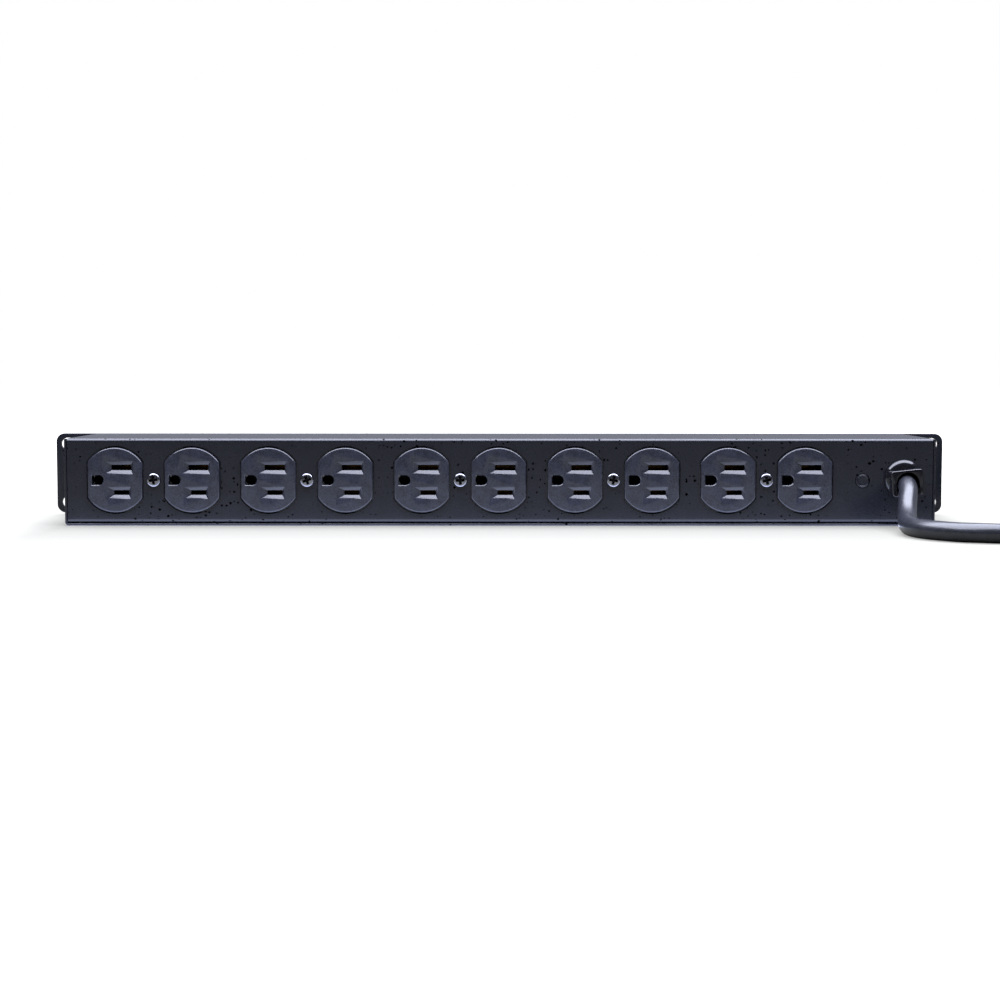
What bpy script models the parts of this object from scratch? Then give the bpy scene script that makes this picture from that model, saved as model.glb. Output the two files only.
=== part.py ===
"""Rack power strip: a 1U, 19-inch sheet-metal strip with five duplex receptacles and the mains
lead on its rear face, and a rocker switch and a reset breaker on its rack panel.

Metres, +Z up. X runs along the strip, the outlets face -Y and the rack panel faces +Y.
The origin is under the middle of the strip, without its lead, on the surface that it stands on.
"""

import math

import bmesh
import bpy
import numpy as np
from mathutils import Matrix, Vector

# Air between pieces that touch on the real object
GAP = 0.0003

# Sheet-metal body
BODY_WIDTH = 0.4410
BODY_HEIGHT = 0.0442
BODY_DEPTH = 0.0700  # outlet face to the rear of the rack ears
SHEET = 0.0012
BEND = 0.0018  # outside radius of a fold
BEND_STEPS = 4
RETURN_FLANGE = 0.0140
FAR_FLANGE = 0.0110
NOTCH_CLEAR = 0.0015

# Rack panel: 19-inch hole pattern
PANEL_WIDTH = 0.4826
PANEL_LOW = 0.0012
PANEL_HIGH = 0.0444
PANEL_THICK = 0.0020
PANEL_CORNER = 0.0046
RACK_HOLES_X = 0.4651
RACK_HOLES_Z = 0.03175
RACK_SLOT = (0.0120, 0.0066)
PANEL_MID = (PANEL_LOW + PANEL_HIGH) / 2
PANEL_SCREW_X = 0.1200
PANEL_SCREW_Z = (0.0066, 0.0384)
PANEL_SCREW_HEAD = (0.0028, 0.0017)  # radius, height
PANEL_SCREW_SHANK = 0.0065

# Duplex receptacles
DUPLEX_COUNT = 5
DUPLEX_PITCH = 0.0775
FIRST_DUPLEX_X = -0.17525
OUTLET_PITCH = 0.0389
OUTLET_Z = 0.0232
OUTLET_RADIUS = 0.0164
OUTLET_FLAT = 0.0137  # half the width across the flats
OUTLET_PROUD = 0.0016
CUTOUT_RADIUS = 0.01705
CUTOUT_FLAT = 0.0143
SLAB = (0.0700, 0.0335, 0.0025)  # the part of the face that stays behind the sheet
BLADE_Z = 0.00635
BLADE_X = 0.0032
GROUND_X = -0.0087
NEUTRAL_SLOT = (0.0101, 0.0028)
LINE_SLOT = (0.0077, 0.0024)
GROUND_HOLE = (0.0059, 0.0050)
FUNNEL_DEPTH = 0.0011
FUNNEL_REACH = (0.0037, 0.0011, 0.0019)  # beyond the slot: ground-pin side, other side, up and down
FUNNEL_OVERRUN = 0.3  # share of its slope that the cutter carries on past the face
STRAP = (0.0640, 0.0076, 0.0010)
STRAP_HOLE = 0.00315
CONTACT_LENGTH = 0.0560
CONTACT_WALL = 0.0008
CONTACT_HALF = 0.0022
TAIL_WIDE = 0.0050
TAIL_OUT = 0.0011
HOUSING_DEPTH = 0.0220  # outlet face of the sheet to the back of a receptacle
HOUSING_WALL = 0.0015
SCREW_HEAD = 0.0034
SCREW_PROUD = 0.0020
SCREW_SHANK = 0.0016
SCREW_REACH = 0.0090
SCREW_HOLE = 0.0020
SCREW_SIDES = 12
DOME_STEPS = 3

# Rack-panel controls
SWITCH_X = 0.1900
SWITCH_BODY = (0.0214, 0.0274, 0.0240)
SWITCH_BEZEL = (0.0250, 0.0310, 0.0020)
ROCKER = (0.0170, 0.0224)
ROCKER_WELL = (0.0176, 0.0250, 0.0120)
ROCKER_THROW = math.radians(20)
PIVOT_DEPTH = 0.0030
PIVOT_PIN = (0.0012, 0.0093)  # radius, reach from the middle
ROCKER_BELLY = (0.0052, 0.0020)  # depth at the middle and at the ends, below the pivot
BREAKER_X = 0.1560
BREAKER_BODY = (0.0140, 0.0300, 0.0270)
BREAKER_NECK = 0.0047
BREAKER_NECK_OUT = 0.0038
BREAKER_OUT = 0.0075  # rack panel to the tip of the reset button
BUTTON_RADIUS = 0.0031
BUTTON_LENGTH = 0.0190
BUTTON_DOME = 0.0008
BUTTON_BORE_DEPTH = 0.0180
HEX_NUT = (0.0081, 0.0022)  # radius over its corners, thickness

# Ground stud and strain relief, on the outlet face
STUD_X = 0.1835
STUD_Z = 0.0229
STUD_HEAD = 0.00345
STUD_CHAMFER = 0.0003
STUD_SHANK = (0.0020, 0.0130)  # radius, depth of its end
STUD_NUT = (0.0040, 0.0080, 0.0112)  # radius over its corners, depths of its faces
RELIEF_X = 0.2042
RELIEF_Z = 0.0240
RELIEF_TURN = math.radians(6)
RELIEF_FLANGE = 0.0099
RELIEF_NECK = 0.0082
RELIEF_BORE = 0.0058
RELIEF_OUT = 0.0100
RELIEF_IN = 0.0140
RELIEF_RIM = ((0, 0.0034), (0.0074, 0.0034), (0.0088, 0.0028), (0.0097, 0.0014))  # radius, height
HOOD_Z = (0.0160, 0.0289)
HOOD_WIDE = 0.0162
ARCH_Z = 0.0220  # middle of the bore and of the hood's arch
ARCH_BACK = 0.0029
WEDGE = (0.0033, 0.0033, 0.0115, 0.0085)  # half width, near and far depth, height above the middle

# Mains lead
CORD_RADIUS = 0.00465
CORD_Z = 0.0224  # height at which the lead leaves
COIL_X = 0.3380
COIL_MEAN = 0.0560
COIL_WIDE = 4
COIL_HIGH = 3
TIE_THICK = 0.0006
TIE_WIDE = 0.0120
TIE_ANGLE = math.radians(20)
TIE_CLEAR = 0.0009

# The object's depth runs from the screw heads to the reset button, and its middle is y = 0
FACE_Y = -(BODY_DEPTH + PANEL_THICK + BREAKER_OUT - SCREW_PROUD) / 2
EAR_Y = FACE_Y + BODY_DEPTH
FRONT_Y = EAR_Y + PANEL_THICK


def remove_everything():
    for obj in list(bpy.data.objects):
        bpy.data.objects.remove(obj, do_unlink=True)


def new_collection(name, hidden=False):
    made = bpy.data.collections.new(name)
    made.hide_render = hidden
    bpy.context.scene.collection.children.link(made)
    return made


def material(name, colour, roughness, metallic=0.0):
    made = bpy.data.materials.new(name)
    made.use_nodes = True
    shader = made.node_tree.nodes["Principled BSDF"]
    shader.inputs["Base Color"].default_value = (*colour, 1.0)
    shader.inputs["Roughness"].default_value = roughness
    shader.inputs["Metallic"].default_value = metallic
    return made


remove_everything()
PARTS = new_collection("rack_power_strip")
CUTTERS = new_collection("cutters", hidden=True)

POWDER_COAT = material("black powder coat", (0.024, 0.025, 0.031), 0.45)
FACE_PLASTIC = material("dark grey nylon", (0.055, 0.058, 0.068), 0.42)
BODY_PLASTIC = material("black moulded body", (0.020, 0.020, 0.022), 0.50)
ZINC = material("zinc plated steel", (0.62, 0.62, 0.63), 0.32, 1.0)
BRASS = material("brass strip", (0.72, 0.52, 0.25), 0.35, 1.0)
STEEL = material("plated steel strap", (0.55, 0.55, 0.56), 0.38, 1.0)
JACKET = material("black cord jacket", (0.030, 0.032, 0.040), 0.38)
WIRE_BLACK = material("black wire insulation", (0.020, 0.020, 0.020), 0.45)
WIRE_WHITE = material("white wire insulation", (0.75, 0.75, 0.72), 0.45)
WIRE_GREEN = material("green wire insulation", (0.03, 0.22, 0.06), 0.45)
NYLON_BLACK = material("black nylon", (0.016, 0.016, 0.019), 0.35)
ROCKER_PLASTIC = material("black rocker", (0.014, 0.014, 0.015), 0.25)
RESET_WHITE = material("white reset button", (0.78, 0.78, 0.76), 0.35)
NICKEL = material("nickel plate", (0.66, 0.64, 0.60), 0.25, 1.0)
TIE_CLOTH = material("hook and loop tie", (0.015, 0.015, 0.016), 0.9)


# Shapes. Each function gives a hidden working object with its place in its mesh.


def working(name, mesh):
    obj = bpy.data.objects.new(name, mesh)
    obj.display_type = "WIRE"
    obj.hide_render = True
    CUTTERS.objects.link(obj)
    return obj


def from_bmesh(name, bm):
    mesh = bpy.data.meshes.new(name)
    bm.to_mesh(mesh)
    bm.free()
    return working(name, mesh)


def box(name, low, high):
    low, high = Vector(low), Vector(high)
    bm = bmesh.new()
    bmesh.ops.create_cube(bm, size=1.0)
    bmesh.ops.scale(bm, vec=high - low, verts=bm.verts)
    bmesh.ops.translate(bm, vec=(low + high) / 2, verts=bm.verts)
    return from_bmesh(name, bm)


def rod(name, start, end, radius, end_radius=None, segments=20):
    """Round bar from start to end, a cone where the end has its own radius."""
    start, end = Vector(start), Vector(end)
    axis = end - start
    bm = bmesh.new()
    bmesh.ops.create_cone(
        bm, cap_ends=True, segments=segments, depth=axis.length, radius1=radius,
        radius2=radius if end_radius is None else end_radius,
    )
    turn = Vector((0, 0, 1)).rotation_difference(axis).to_matrix().to_4x4()
    bmesh.ops.transform(bm, matrix=Matrix.Translation((start + end) / 2) @ turn, verts=bm.verts)
    return from_bmesh(name, bm)


def evaluated_mesh(obj):
    graph = bpy.context.evaluated_depsgraph_get()
    return bpy.data.meshes.new_from_object(obj.evaluated_get(graph))


def curve_to_solid(name, curve, place):
    """The curve as a closed mesh, with its place applied."""
    guide = bpy.data.objects.new(name, curve)
    CUTTERS.objects.link(guide)
    mesh = evaluated_mesh(guide)
    bpy.data.objects.remove(guide)
    bm = bmesh.new()
    bm.from_mesh(mesh)
    bmesh.ops.remove_doubles(bm, verts=bm.verts, dist=1e-6)
    bmesh.ops.transform(bm, matrix=place, verts=bm.verts)
    return from_bmesh(name, bm)


def prism(name, loops, thickness, place=Matrix()):
    """Flat outline in the XY plane, `thickness` thick about it. An inner loop is a hole."""
    curve = bpy.data.curves.new(name, "CURVE")
    curve.dimensions = "2D"
    curve.fill_mode = "BOTH"
    curve.extrude = thickness / 2
    for loop in loops:
        spline = curve.splines.new("POLY")
        spline.points.add(len(loop) - 1)
        for point, (x, y) in zip(spline.points, loop):
            point.co = (x, y, 0, 1)
        spline.use_cyclic_u = True
    return curve_to_solid(name, curve, place)


def upright(y_low, y_high):
    """Thickness and place of a prism whose outline is drawn in X and Z, between two depths."""
    middle = Matrix.Translation((0, (y_low + y_high) / 2, 0))
    return y_high - y_low, middle @ Matrix.Rotation(math.pi / 2, 4, "X")


def tube(name, points, radius, resolution=2):
    curve = bpy.data.curves.new(name, "CURVE")
    curve.dimensions = "3D"
    curve.bevel_depth = radius
    curve.bevel_resolution = resolution
    curve.use_fill_caps = True
    spline = curve.splines.new("POLY")
    spline.points.add(len(points) - 1)
    for point, place in zip(spline.points, points):
        point.co = (*place, 1)
    return curve_to_solid(name, curve, Matrix())


def folded_sheet(name, profile, sweep):
    """Open strip along a folded profile. Its wall is on the side away from profile x sweep."""
    bm = bmesh.new()
    near, far = (
        [bm.verts.new(Vector(point) + Vector(sweep) * side) for point in profile]
        for side in (-0.5, 0.5)
    )
    for i in range(len(profile) - 1):
        bm.faces.new((near[i], near[i + 1], far[i + 1], far[i]))
    obj = from_bmesh(name, bm)
    wall = obj.modifiers.new("wall", "SOLIDIFY")
    wall.thickness = SHEET
    wall.offset = -1
    wall.use_even_offset = True
    return obj


def turned(name, profile, segments, place):
    """Profile of (radius, height) pairs, top to bottom on its outer side, turned about Z."""
    bm = bmesh.new()
    verts = [bm.verts.new((radius, 0, height)) for radius, height in profile]
    for a, b in zip(verts, verts[1:]):
        bm.edges.new((a, b))
    obj = from_bmesh(name, bm)
    screw = obj.modifiers.new("turn", "SCREW")
    screw.steps = screw.render_steps = segments
    screw.use_merge_vertices = True
    screw.merge_threshold = 1e-5
    mesh = evaluated_mesh(obj)
    bpy.data.objects.remove(obj)
    mesh.transform(place)
    return working(name, mesh)


def boolean(obj, tool, operation):
    step = obj.modifiers.new(tool.name, "BOOLEAN")
    step.operation = operation
    step.object = tool
    return obj


def cut(obj, *tools):
    for tool in tools:
        boolean(obj, tool, "DIFFERENCE")
    return obj


def join(obj, *tools):
    for tool in tools:
        boolean(obj, tool, "UNION")
    return obj


def rounded(obj, width, segments=2, angle=70):
    bevel = obj.modifiers.new("round", "BEVEL")
    bevel.width = width
    bevel.segments = segments
    bevel.limit_method = "ANGLE"
    bevel.angle_limit = math.radians(angle)
    return obj


def finished(obj, finish):
    """The worked shape as one plain mesh with its material, ready to be placed."""
    mesh = evaluated_mesh(obj)
    bpy.data.objects.remove(obj)
    mesh.shade_smooth()
    mesh.set_sharp_from_angle(angle=math.radians(32))
    mesh.materials.clear()
    mesh.materials.append(finish)
    return mesh


def place_part(name, mesh, location=(0, 0, 0), turn=0.0):
    part = bpy.data.objects.new(name, mesh)
    part.location = location
    part.rotation_euler = (0, 0, turn)
    PARTS.objects.link(part)


# Outlines, as lists of (x, y)


def arc(centre, radius, start, end, steps):
    """Points on an arc between two angles in degrees."""
    angles = np.radians(np.linspace(start, end, steps + 1))
    return [(centre[0] + radius * math.cos(a), centre[1] + radius * math.sin(a)) for a in angles]


def circle(centre, radius, steps=20):
    return arc(centre, radius, 0, 360, steps)[:-1]


def rounded_rectangle(centre, size, radius, steps=4):
    x, y = size[0] / 2 - radius, size[1] / 2 - radius
    points = []
    for start, sx, sy in ((0, 1, 1), (90, -1, 1), (180, -1, -1), (270, 1, -1)):
        corner = (centre[0] + sx * x, centre[1] + sy * y)
        points += arc(corner, radius, start, start + 90, steps)
    return points


def obround(centre, size, steps=8):
    """Slot with round ends, longer along x."""
    reach = (size[0] - size[1]) / 2
    right = arc((centre[0] + reach, centre[1]), size[1] / 2, -90, 90, steps)
    return right + arc((centre[0] - reach, centre[1]), size[1] / 2, 90, 270, steps)


def flattened_circle(centre, radius, flat, steps=12):
    """Circle cut by two upright flats, the outline of a duplex outlet."""
    edge = math.degrees(math.acos(flat / radius))
    return arc(centre, radius, edge, 180 - edge, steps) + arc(
        centre, radius, 180 + edge, 360 - edge, steps
    )


def fold_path(corners, radius):
    """Path through corners in a plane, each inner corner a fold of that radius."""
    corners = [np.array(c, float) for c in corners]
    path = [corners[0]]
    for before, corner, after in zip(corners, corners[1:], corners[2:]):
        towards = (before - corner) / np.linalg.norm(before - corner)
        away = (after - corner) / np.linalg.norm(after - corner)
        middle = corner + radius * (towards + away)
        for step in range(BEND_STEPS + 1):
            a = step / BEND_STEPS * math.pi / 2
            path.append(middle - radius * (away * math.cos(a) + towards * math.sin(a)))
    return path + [corners[-1]]


# Body


def outlet_centres():
    """X of each duplex, and of its outlets from its own middle."""
    duplexes = [FIRST_DUPLEX_X + i * DUPLEX_PITCH for i in range(DUPLEX_COUNT)]
    return duplexes, (-OUTLET_PITCH / 2, OUTLET_PITCH / 2)


PANEL_SCREWS = [(side * PANEL_SCREW_X, z) for side in (-1, 1) for z in PANEL_SCREW_Z]


def control_notch(name):
    """Gap in the far flanges that the switch and the breaker reach in through."""
    low = BREAKER_X - BREAKER_BODY[0] / 2 - NOTCH_CLEAR
    high = SWITCH_X + SWITCH_BODY[0] / 2 + NOTCH_CLEAR
    bottom = SHEET + BEND
    return box(name, (low, EAR_Y - 2 * BEND, bottom), (high, EAR_Y + GAP, BODY_HEIGHT - bottom))


def make_chassis():
    """Top, outlet face and flanges, folded from one sheet."""
    far = EAR_Y - GAP
    low = SHEET + GAP
    corners = [
        (FACE_Y + RETURN_FLANGE, low),
        (FACE_Y, low),
        (FACE_Y, BODY_HEIGHT),
        (far, BODY_HEIGHT),
        (far, BODY_HEIGHT - FAR_FLANGE),
    ]
    profile = [(0, y, z) for y, z in fold_path(corners, BEND)]
    inner_width = BODY_WIDTH - 2 * (SHEET + GAP)
    sheet = folded_sheet("chassis_sheet", profile, (-inner_width, 0, 0))
    duplexes, outlets = outlet_centres()
    loops = []
    for x in duplexes:
        loops += [
            flattened_circle((x + dx, OUTLET_Z), CUTOUT_RADIUS, CUTOUT_FLAT) for dx in outlets
        ]
        loops.append(circle((x, OUTLET_Z), SCREW_HOLE, 12))
    loops.append(circle((STUD_X, STUD_Z), STUD_HEAD + GAP, 20))
    loops.append(circle((RELIEF_X, RELIEF_Z), RELIEF_NECK + GAP, 20))
    face_holes = prism("face_holes", loops, *upright(FACE_Y - SHEET, FACE_Y + 2 * SHEET))
    flange_holes = prism(
        "flange_holes",
        [circle((x, z), SCREW_HOLE, 12) for x, z in PANEL_SCREWS if z > PANEL_MID],
        *upright(far - 2 * SHEET, far + SHEET),
    )
    cut(sheet, face_holes, flange_holes, control_notch("chassis_notch"))
    place_part("chassis", finished(sheet, POWDER_COAT))


def make_bottom_cover():
    """Base with its turned-up end walls and far flange."""
    far = EAR_Y - GAP
    side = BODY_WIDTH / 2
    top = BODY_HEIGHT - GAP
    corners = [(side, top), (side, 0), (-side, 0), (-side, top)]
    middle = (FACE_Y + far) / 2
    profile = [(x, middle, z) for x, z in fold_path(corners, BEND)]
    sheet = folded_sheet("cover_sheet", profile, (0, far - FACE_Y, 0))
    reach = side - SHEET - GAP
    flange = box("cover_flange", (-reach, far - SHEET, SHEET / 2), (reach, far, FAR_FLANGE))
    holes = prism(
        "cover_holes",
        [circle((x, z), SCREW_HOLE, 12) for x, z in PANEL_SCREWS if z < PANEL_MID],
        *upright(far - 2 * SHEET, far + SHEET),
    )
    cut(join(sheet, flange), holes, control_notch("cover_notch"))
    place_part("bottom_cover", finished(sheet, POWDER_COAT))


def make_front_panel():
    """Rack panel: two ears with open slots, and the holes for the controls."""
    size = (PANEL_WIDTH, PANEL_HIGH - PANEL_LOW)
    loops = [rounded_rectangle((0, PANEL_MID), size, PANEL_CORNER, 6)]
    for sx in (-1, 1):
        for sz in (-1, 1):
            centre = (sx * RACK_HOLES_X / 2, PANEL_MID + sz * RACK_HOLES_Z / 2)
            loops.append(obround(centre, RACK_SLOT))
    opening = [side + 2 * GAP for side in SWITCH_BODY[:2]]
    loops.append(rounded_rectangle((SWITCH_X, PANEL_MID), opening, 0.0006, 1))
    loops.append(circle((BREAKER_X, PANEL_MID), BREAKER_NECK + GAP))
    loops += [circle(centre, SCREW_HOLE, 12) for centre in PANEL_SCREWS]
    panel = prism("panel_plate", loops, *upright(EAR_Y, FRONT_Y))
    place_part("front_panel", finished(panel, POWDER_COAT))


# Screws


def cross_recess(size, depth):
    """Phillips recess at the origin, cut down along -Z: two crossed tapered bars."""
    bars = []
    for i in range(2):
        bm = bmesh.new()
        bmesh.ops.create_cube(bm, size=1.0)
        for vert in bm.verts:
            lower = vert.co.z < 0
            vert.co.x *= size * (0.45 if lower else 1.0)
            vert.co.y *= size * 0.24
            vert.co.z = -depth if lower else depth
        bmesh.ops.rotate(bm, matrix=Matrix.Rotation(i * math.pi / 2, 3, "Z"), verts=bm.verts)
        bars.append(from_bmesh(f"recess_bar_{i}", bm))
    return bars


def pan_screw_mesh(head_radius, head_height, shank_length, facing):
    """Pan-head screw with its seat at the origin and its head on +Z, then turned to `facing`."""
    profile = [(0, head_height)]
    for step in range(1, DOME_STEPS + 1):
        a = step / DOME_STEPS * math.pi / 2
        profile.append((head_radius * math.sin(a), head_height * (0.35 + 0.65 * math.cos(a))))
    profile += [
        (head_radius, 0),
        (SCREW_SHANK, 0),
        (SCREW_SHANK, -shank_length + SCREW_SHANK / 2),
        (0, -shank_length),
    ]
    screw = turned("screw_blank", profile, SCREW_SIDES, Matrix())
    for bar in cross_recess(head_radius * 1.15, head_height * 0.62):
        bar.data.transform(Matrix.Translation((0, 0, head_height)))
        cut(screw, bar)
    mesh = finished(screw, ZINC)
    mesh.transform(Vector((0, 0, 1)).rotation_difference(Vector(facing)).to_matrix().to_4x4())
    return mesh


def make_screws():
    """The five receptacle screws on the outlet face and the four screws of the rack panel."""
    duplexes, _ = outlet_centres()
    mesh = pan_screw_mesh(SCREW_HEAD, SCREW_PROUD - GAP, SCREW_REACH, (0, -1, 0))
    for i, x in enumerate(duplexes, 1):
        place_part(f"receptacle_screw_{i}", mesh, (x, FACE_Y - GAP, OUTLET_Z))
    mesh = pan_screw_mesh(*PANEL_SCREW_HEAD, PANEL_SCREW_SHANK, (0, 1, 0))
    for i, (x, z) in enumerate(PANEL_SCREWS, 1):
        place_part(f"panel_screw_{i}", mesh, (x, FRONT_Y + GAP, z))


# Receptacles. Each is modelled about the middle of its duplex: x and z from there, y inwards
# from the outside of the sheet.

SLAB_Y = (SHEET + GAP, SHEET + GAP + SLAB[2])
STRAP_Y = (SLAB_Y[1] + GAP, SLAB_Y[1] + GAP + STRAP[2])
BLADES = ((BLADE_Z, NEUTRAL_SLOT), (-BLADE_Z, LINE_SLOT))


def funnel(name, x, z, slot):
    """Sloped mouth of a blade slot, longer on the ground-pin side. It carries on past the face,
    so that no cutter face lies in it."""
    ground_side, other_side, up_down = FUNNEL_REACH
    grown = 1 + FUNNEL_OVERRUN
    bm = bmesh.new()
    bmesh.ops.create_cube(bm, size=1.0)
    for vert in bm.verts:
        side, level, outer = (math.copysign(1, c) for c in (vert.co.x, vert.co.z, -vert.co.y))
        reach, rise = side * slot[0] / 2, level * slot[1] / 2
        depth = FUNNEL_DEPTH - OUTLET_PROUD
        if outer > 0:
            reach += side * grown * (other_side if side > 0 else ground_side)
            rise += level * grown * up_down
            depth -= grown * FUNNEL_DEPTH
        vert.co = (x + reach, depth, z + rise)
    return from_bmesh(name, bm)


def ground_outline(x):
    """Ground-pin hole: flat on the left, round on the right."""
    wide, high = GROUND_HOLE
    left = x - wide / 2
    centre = (left + wide - high / 2, 0)
    return [(left, high / 2), (left, -high / 2)] + arc(centre, high / 2, -90, 90, 8)


def receptacle_face():
    _, outlets = outlet_centres()
    half = (SLAB[0] / 2, SLAB[1] / 2)
    face = box("slab", (-half[0], SLAB_Y[0], -half[1]), (half[0], SLAB_Y[1], half[1]))
    for side, x in enumerate(outlets):
        outline = flattened_circle((x, 0), OUTLET_RADIUS, OUTLET_FLAT)
        boss = prism(f"boss_{side}", [outline], *upright(-OUTLET_PROUD, SLAB_Y[0] + 0.0010))
        join(face, rounded(boss, 0.0005))
        for z, slot in BLADES:
            cut(face, funnel(f"funnel_{side}_{z:.3f}", x + BLADE_X, z, slot))
    loops = [circle((0, 0), SCREW_HOLE, 12)]
    for x in outlets:
        loops.append(ground_outline(x + GROUND_X))
        for z, slot in BLADES:
            loops.append(rounded_rectangle((x + BLADE_X, z), slot, 0.0003, 1))
    cut(face, prism("face_slots", loops, *upright(-0.003, SLAB_Y[1] + 0.001)))
    return finished(face, FACE_PLASTIC)


def ground_strap():
    """Plated strap behind the face: it takes the ground pins and the mounting screw."""
    _, outlets = outlet_centres()
    loops = [rounded_rectangle((0, 0), STRAP[:2], 0.0015, 2)]
    loops.append(circle((0, 0), SCREW_SHANK + GAP, 12))
    loops += [circle((x + GROUND_X, 0), STRAP_HOLE, 16) for x in outlets]
    strap = prism("strap", loops, *upright(*STRAP_Y))
    return finished(strap, STEEL)


def blade_contact(z):
    """Folded spring strip whose two walls grip the blades of both outlets, with a tail."""
    near, back = STRAP_Y[0] + GAP, HOUSING_DEPTH - HOUSING_WALL - GAP
    outer = CONTACT_HALF
    inner = outer - CONTACT_WALL
    outline = [
        (near, outer), (near, inner), (back - CONTACT_WALL, inner),
        (back - CONTACT_WALL, -inner), (near, -inner), (near, -outer), (back, -outer), (back, outer),
    ]
    # The outline is drawn in depth and height, and its thickness runs along X
    turn = Matrix(((0, 0, 1, 0), (1, 0, 0, 0), (0, 1, 0, z), (0, 0, 0, 1)))
    strip = prism("spring_strip", [outline], CONTACT_LENGTH, turn)
    tail = box("contact_tail", (-TAIL_WIDE / 2, back - CONTACT_WALL / 2, z - CONTACT_WALL / 2),
               (TAIL_WIDE / 2, HOUSING_DEPTH + TAIL_OUT, z + CONTACT_WALL / 2))
    return finished(join(strip, tail), BRASS)


def receptacle_housing():
    """Tray behind the face, open towards it, with a slot for each contact's tail."""
    x, z = SLAB[0] / 2, SLAB[1] / 2
    near = SLAB_Y[1] + GAP
    tray = box("tray", (-x, near, -z), (x, HOUSING_DEPTH, z))
    inside = box("tray_inside", (HOUSING_WALL - x, near - 0.001, HOUSING_WALL - z),
                 (x - HOUSING_WALL, HOUSING_DEPTH - HOUSING_WALL, z - HOUSING_WALL))
    cut(tray, inside)
    for height, _ in BLADES:
        half_wide, half_high = TAIL_WIDE / 2 + GAP, CONTACT_WALL / 2 + GAP
        slot = box(f"tail_slot_{height:.3f}",
                   (-half_wide, HOUSING_DEPTH - 2 * HOUSING_WALL, height - half_high),
                   (half_wide, HOUSING_DEPTH + HOUSING_WALL, height + half_high))
        cut(tray, slot)
    return finished(tray, BODY_PLASTIC)


def make_receptacles():
    meshes = {
        "receptacle_face": receptacle_face(),
        "receptacle_housing": receptacle_housing(),
        "ground_strap": ground_strap(),
        "neutral_contact": blade_contact(BLADE_Z),
        "line_contact": blade_contact(-BLADE_Z),
    }
    duplexes, _ = outlet_centres()
    for i, x in enumerate(duplexes, 1):
        for name, mesh in meshes.items():
            place_part(f"{name}_{i}", mesh, (x, FACE_Y, OUTLET_Z))


# Controls on the rack panel


def make_switch():
    centre_z = PANEL_MID
    wide, high, deep = SWITCH_BODY
    bezel_wide, bezel_high, bezel_thick = SWITCH_BEZEL
    front = FRONT_Y + GAP + bezel_thick
    housing = box("switch_body", (SWITCH_X - wide / 2, front - deep, centre_z - high / 2),
                  (SWITCH_X + wide / 2, front - 0.0005, centre_z + high / 2))
    outline = rounded_rectangle((SWITCH_X, centre_z), (bezel_wide, bezel_high), 0.0020)
    bezel = prism("switch_bezel", [outline], *upright(FRONT_Y + GAP, front))
    join(housing, rounded(bezel, 0.0007))
    well_wide, well_high, well_deep = ROCKER_WELL
    well = box("rocker_well", (SWITCH_X - well_wide / 2, front - well_deep, centre_z - well_high / 2),
               (SWITCH_X + well_wide / 2, front + 0.002, centre_z + well_high / 2))
    pivot = Vector((SWITCH_X, front - PIVOT_DEPTH, centre_z))
    along = Vector((1, 0, 0))
    pin_radius, pin_reach = PIVOT_PIN
    socket_reach = pin_reach + 0.0005
    sockets = rod("pivot_sockets", pivot - along * socket_reach, pivot + along * socket_reach,
                  pin_radius + GAP)
    cut(housing, well, sockets)
    place_part("switch_housing", finished(housing, BODY_PLASTIC))

    # Rocker section in depth (x) and height (y) from the pivot, at the middle of its throw:
    # a shallow V on the outside and a rounded belly inside
    reach = ROCKER[1] / 2
    rise = math.tan(ROCKER_THROW / 2) * reach
    dip = PIVOT_DEPTH + 0.0004
    belly, edge = ROCKER_BELLY
    section = [(dip, 0), (dip + rise, reach), (-edge, reach), (-belly, reach * 0.45),
               (-belly, -reach * 0.45), (-edge, -reach), (dip + rise, -reach)]
    turn = Matrix(((0, 0, 1, 0), (1, 0, 0, 0), (0, 1, 0, 0), (0, 0, 0, 1)))
    rocker = prism("rocker_block", [section], ROCKER[0], turn)
    rounded(rocker, 0.0006, 2, 60)
    join(rocker, rod("rocker_pins", along * -pin_reach, along * pin_reach, pin_radius, segments=12))
    mesh = finished(rocker, ROCKER_PLASTIC)
    # At rest its upper half is pressed in
    mesh.transform(Matrix.Rotation(ROCKER_THROW / 2, 4, "X"))
    place_part("switch_rocker", mesh, pivot)


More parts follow.
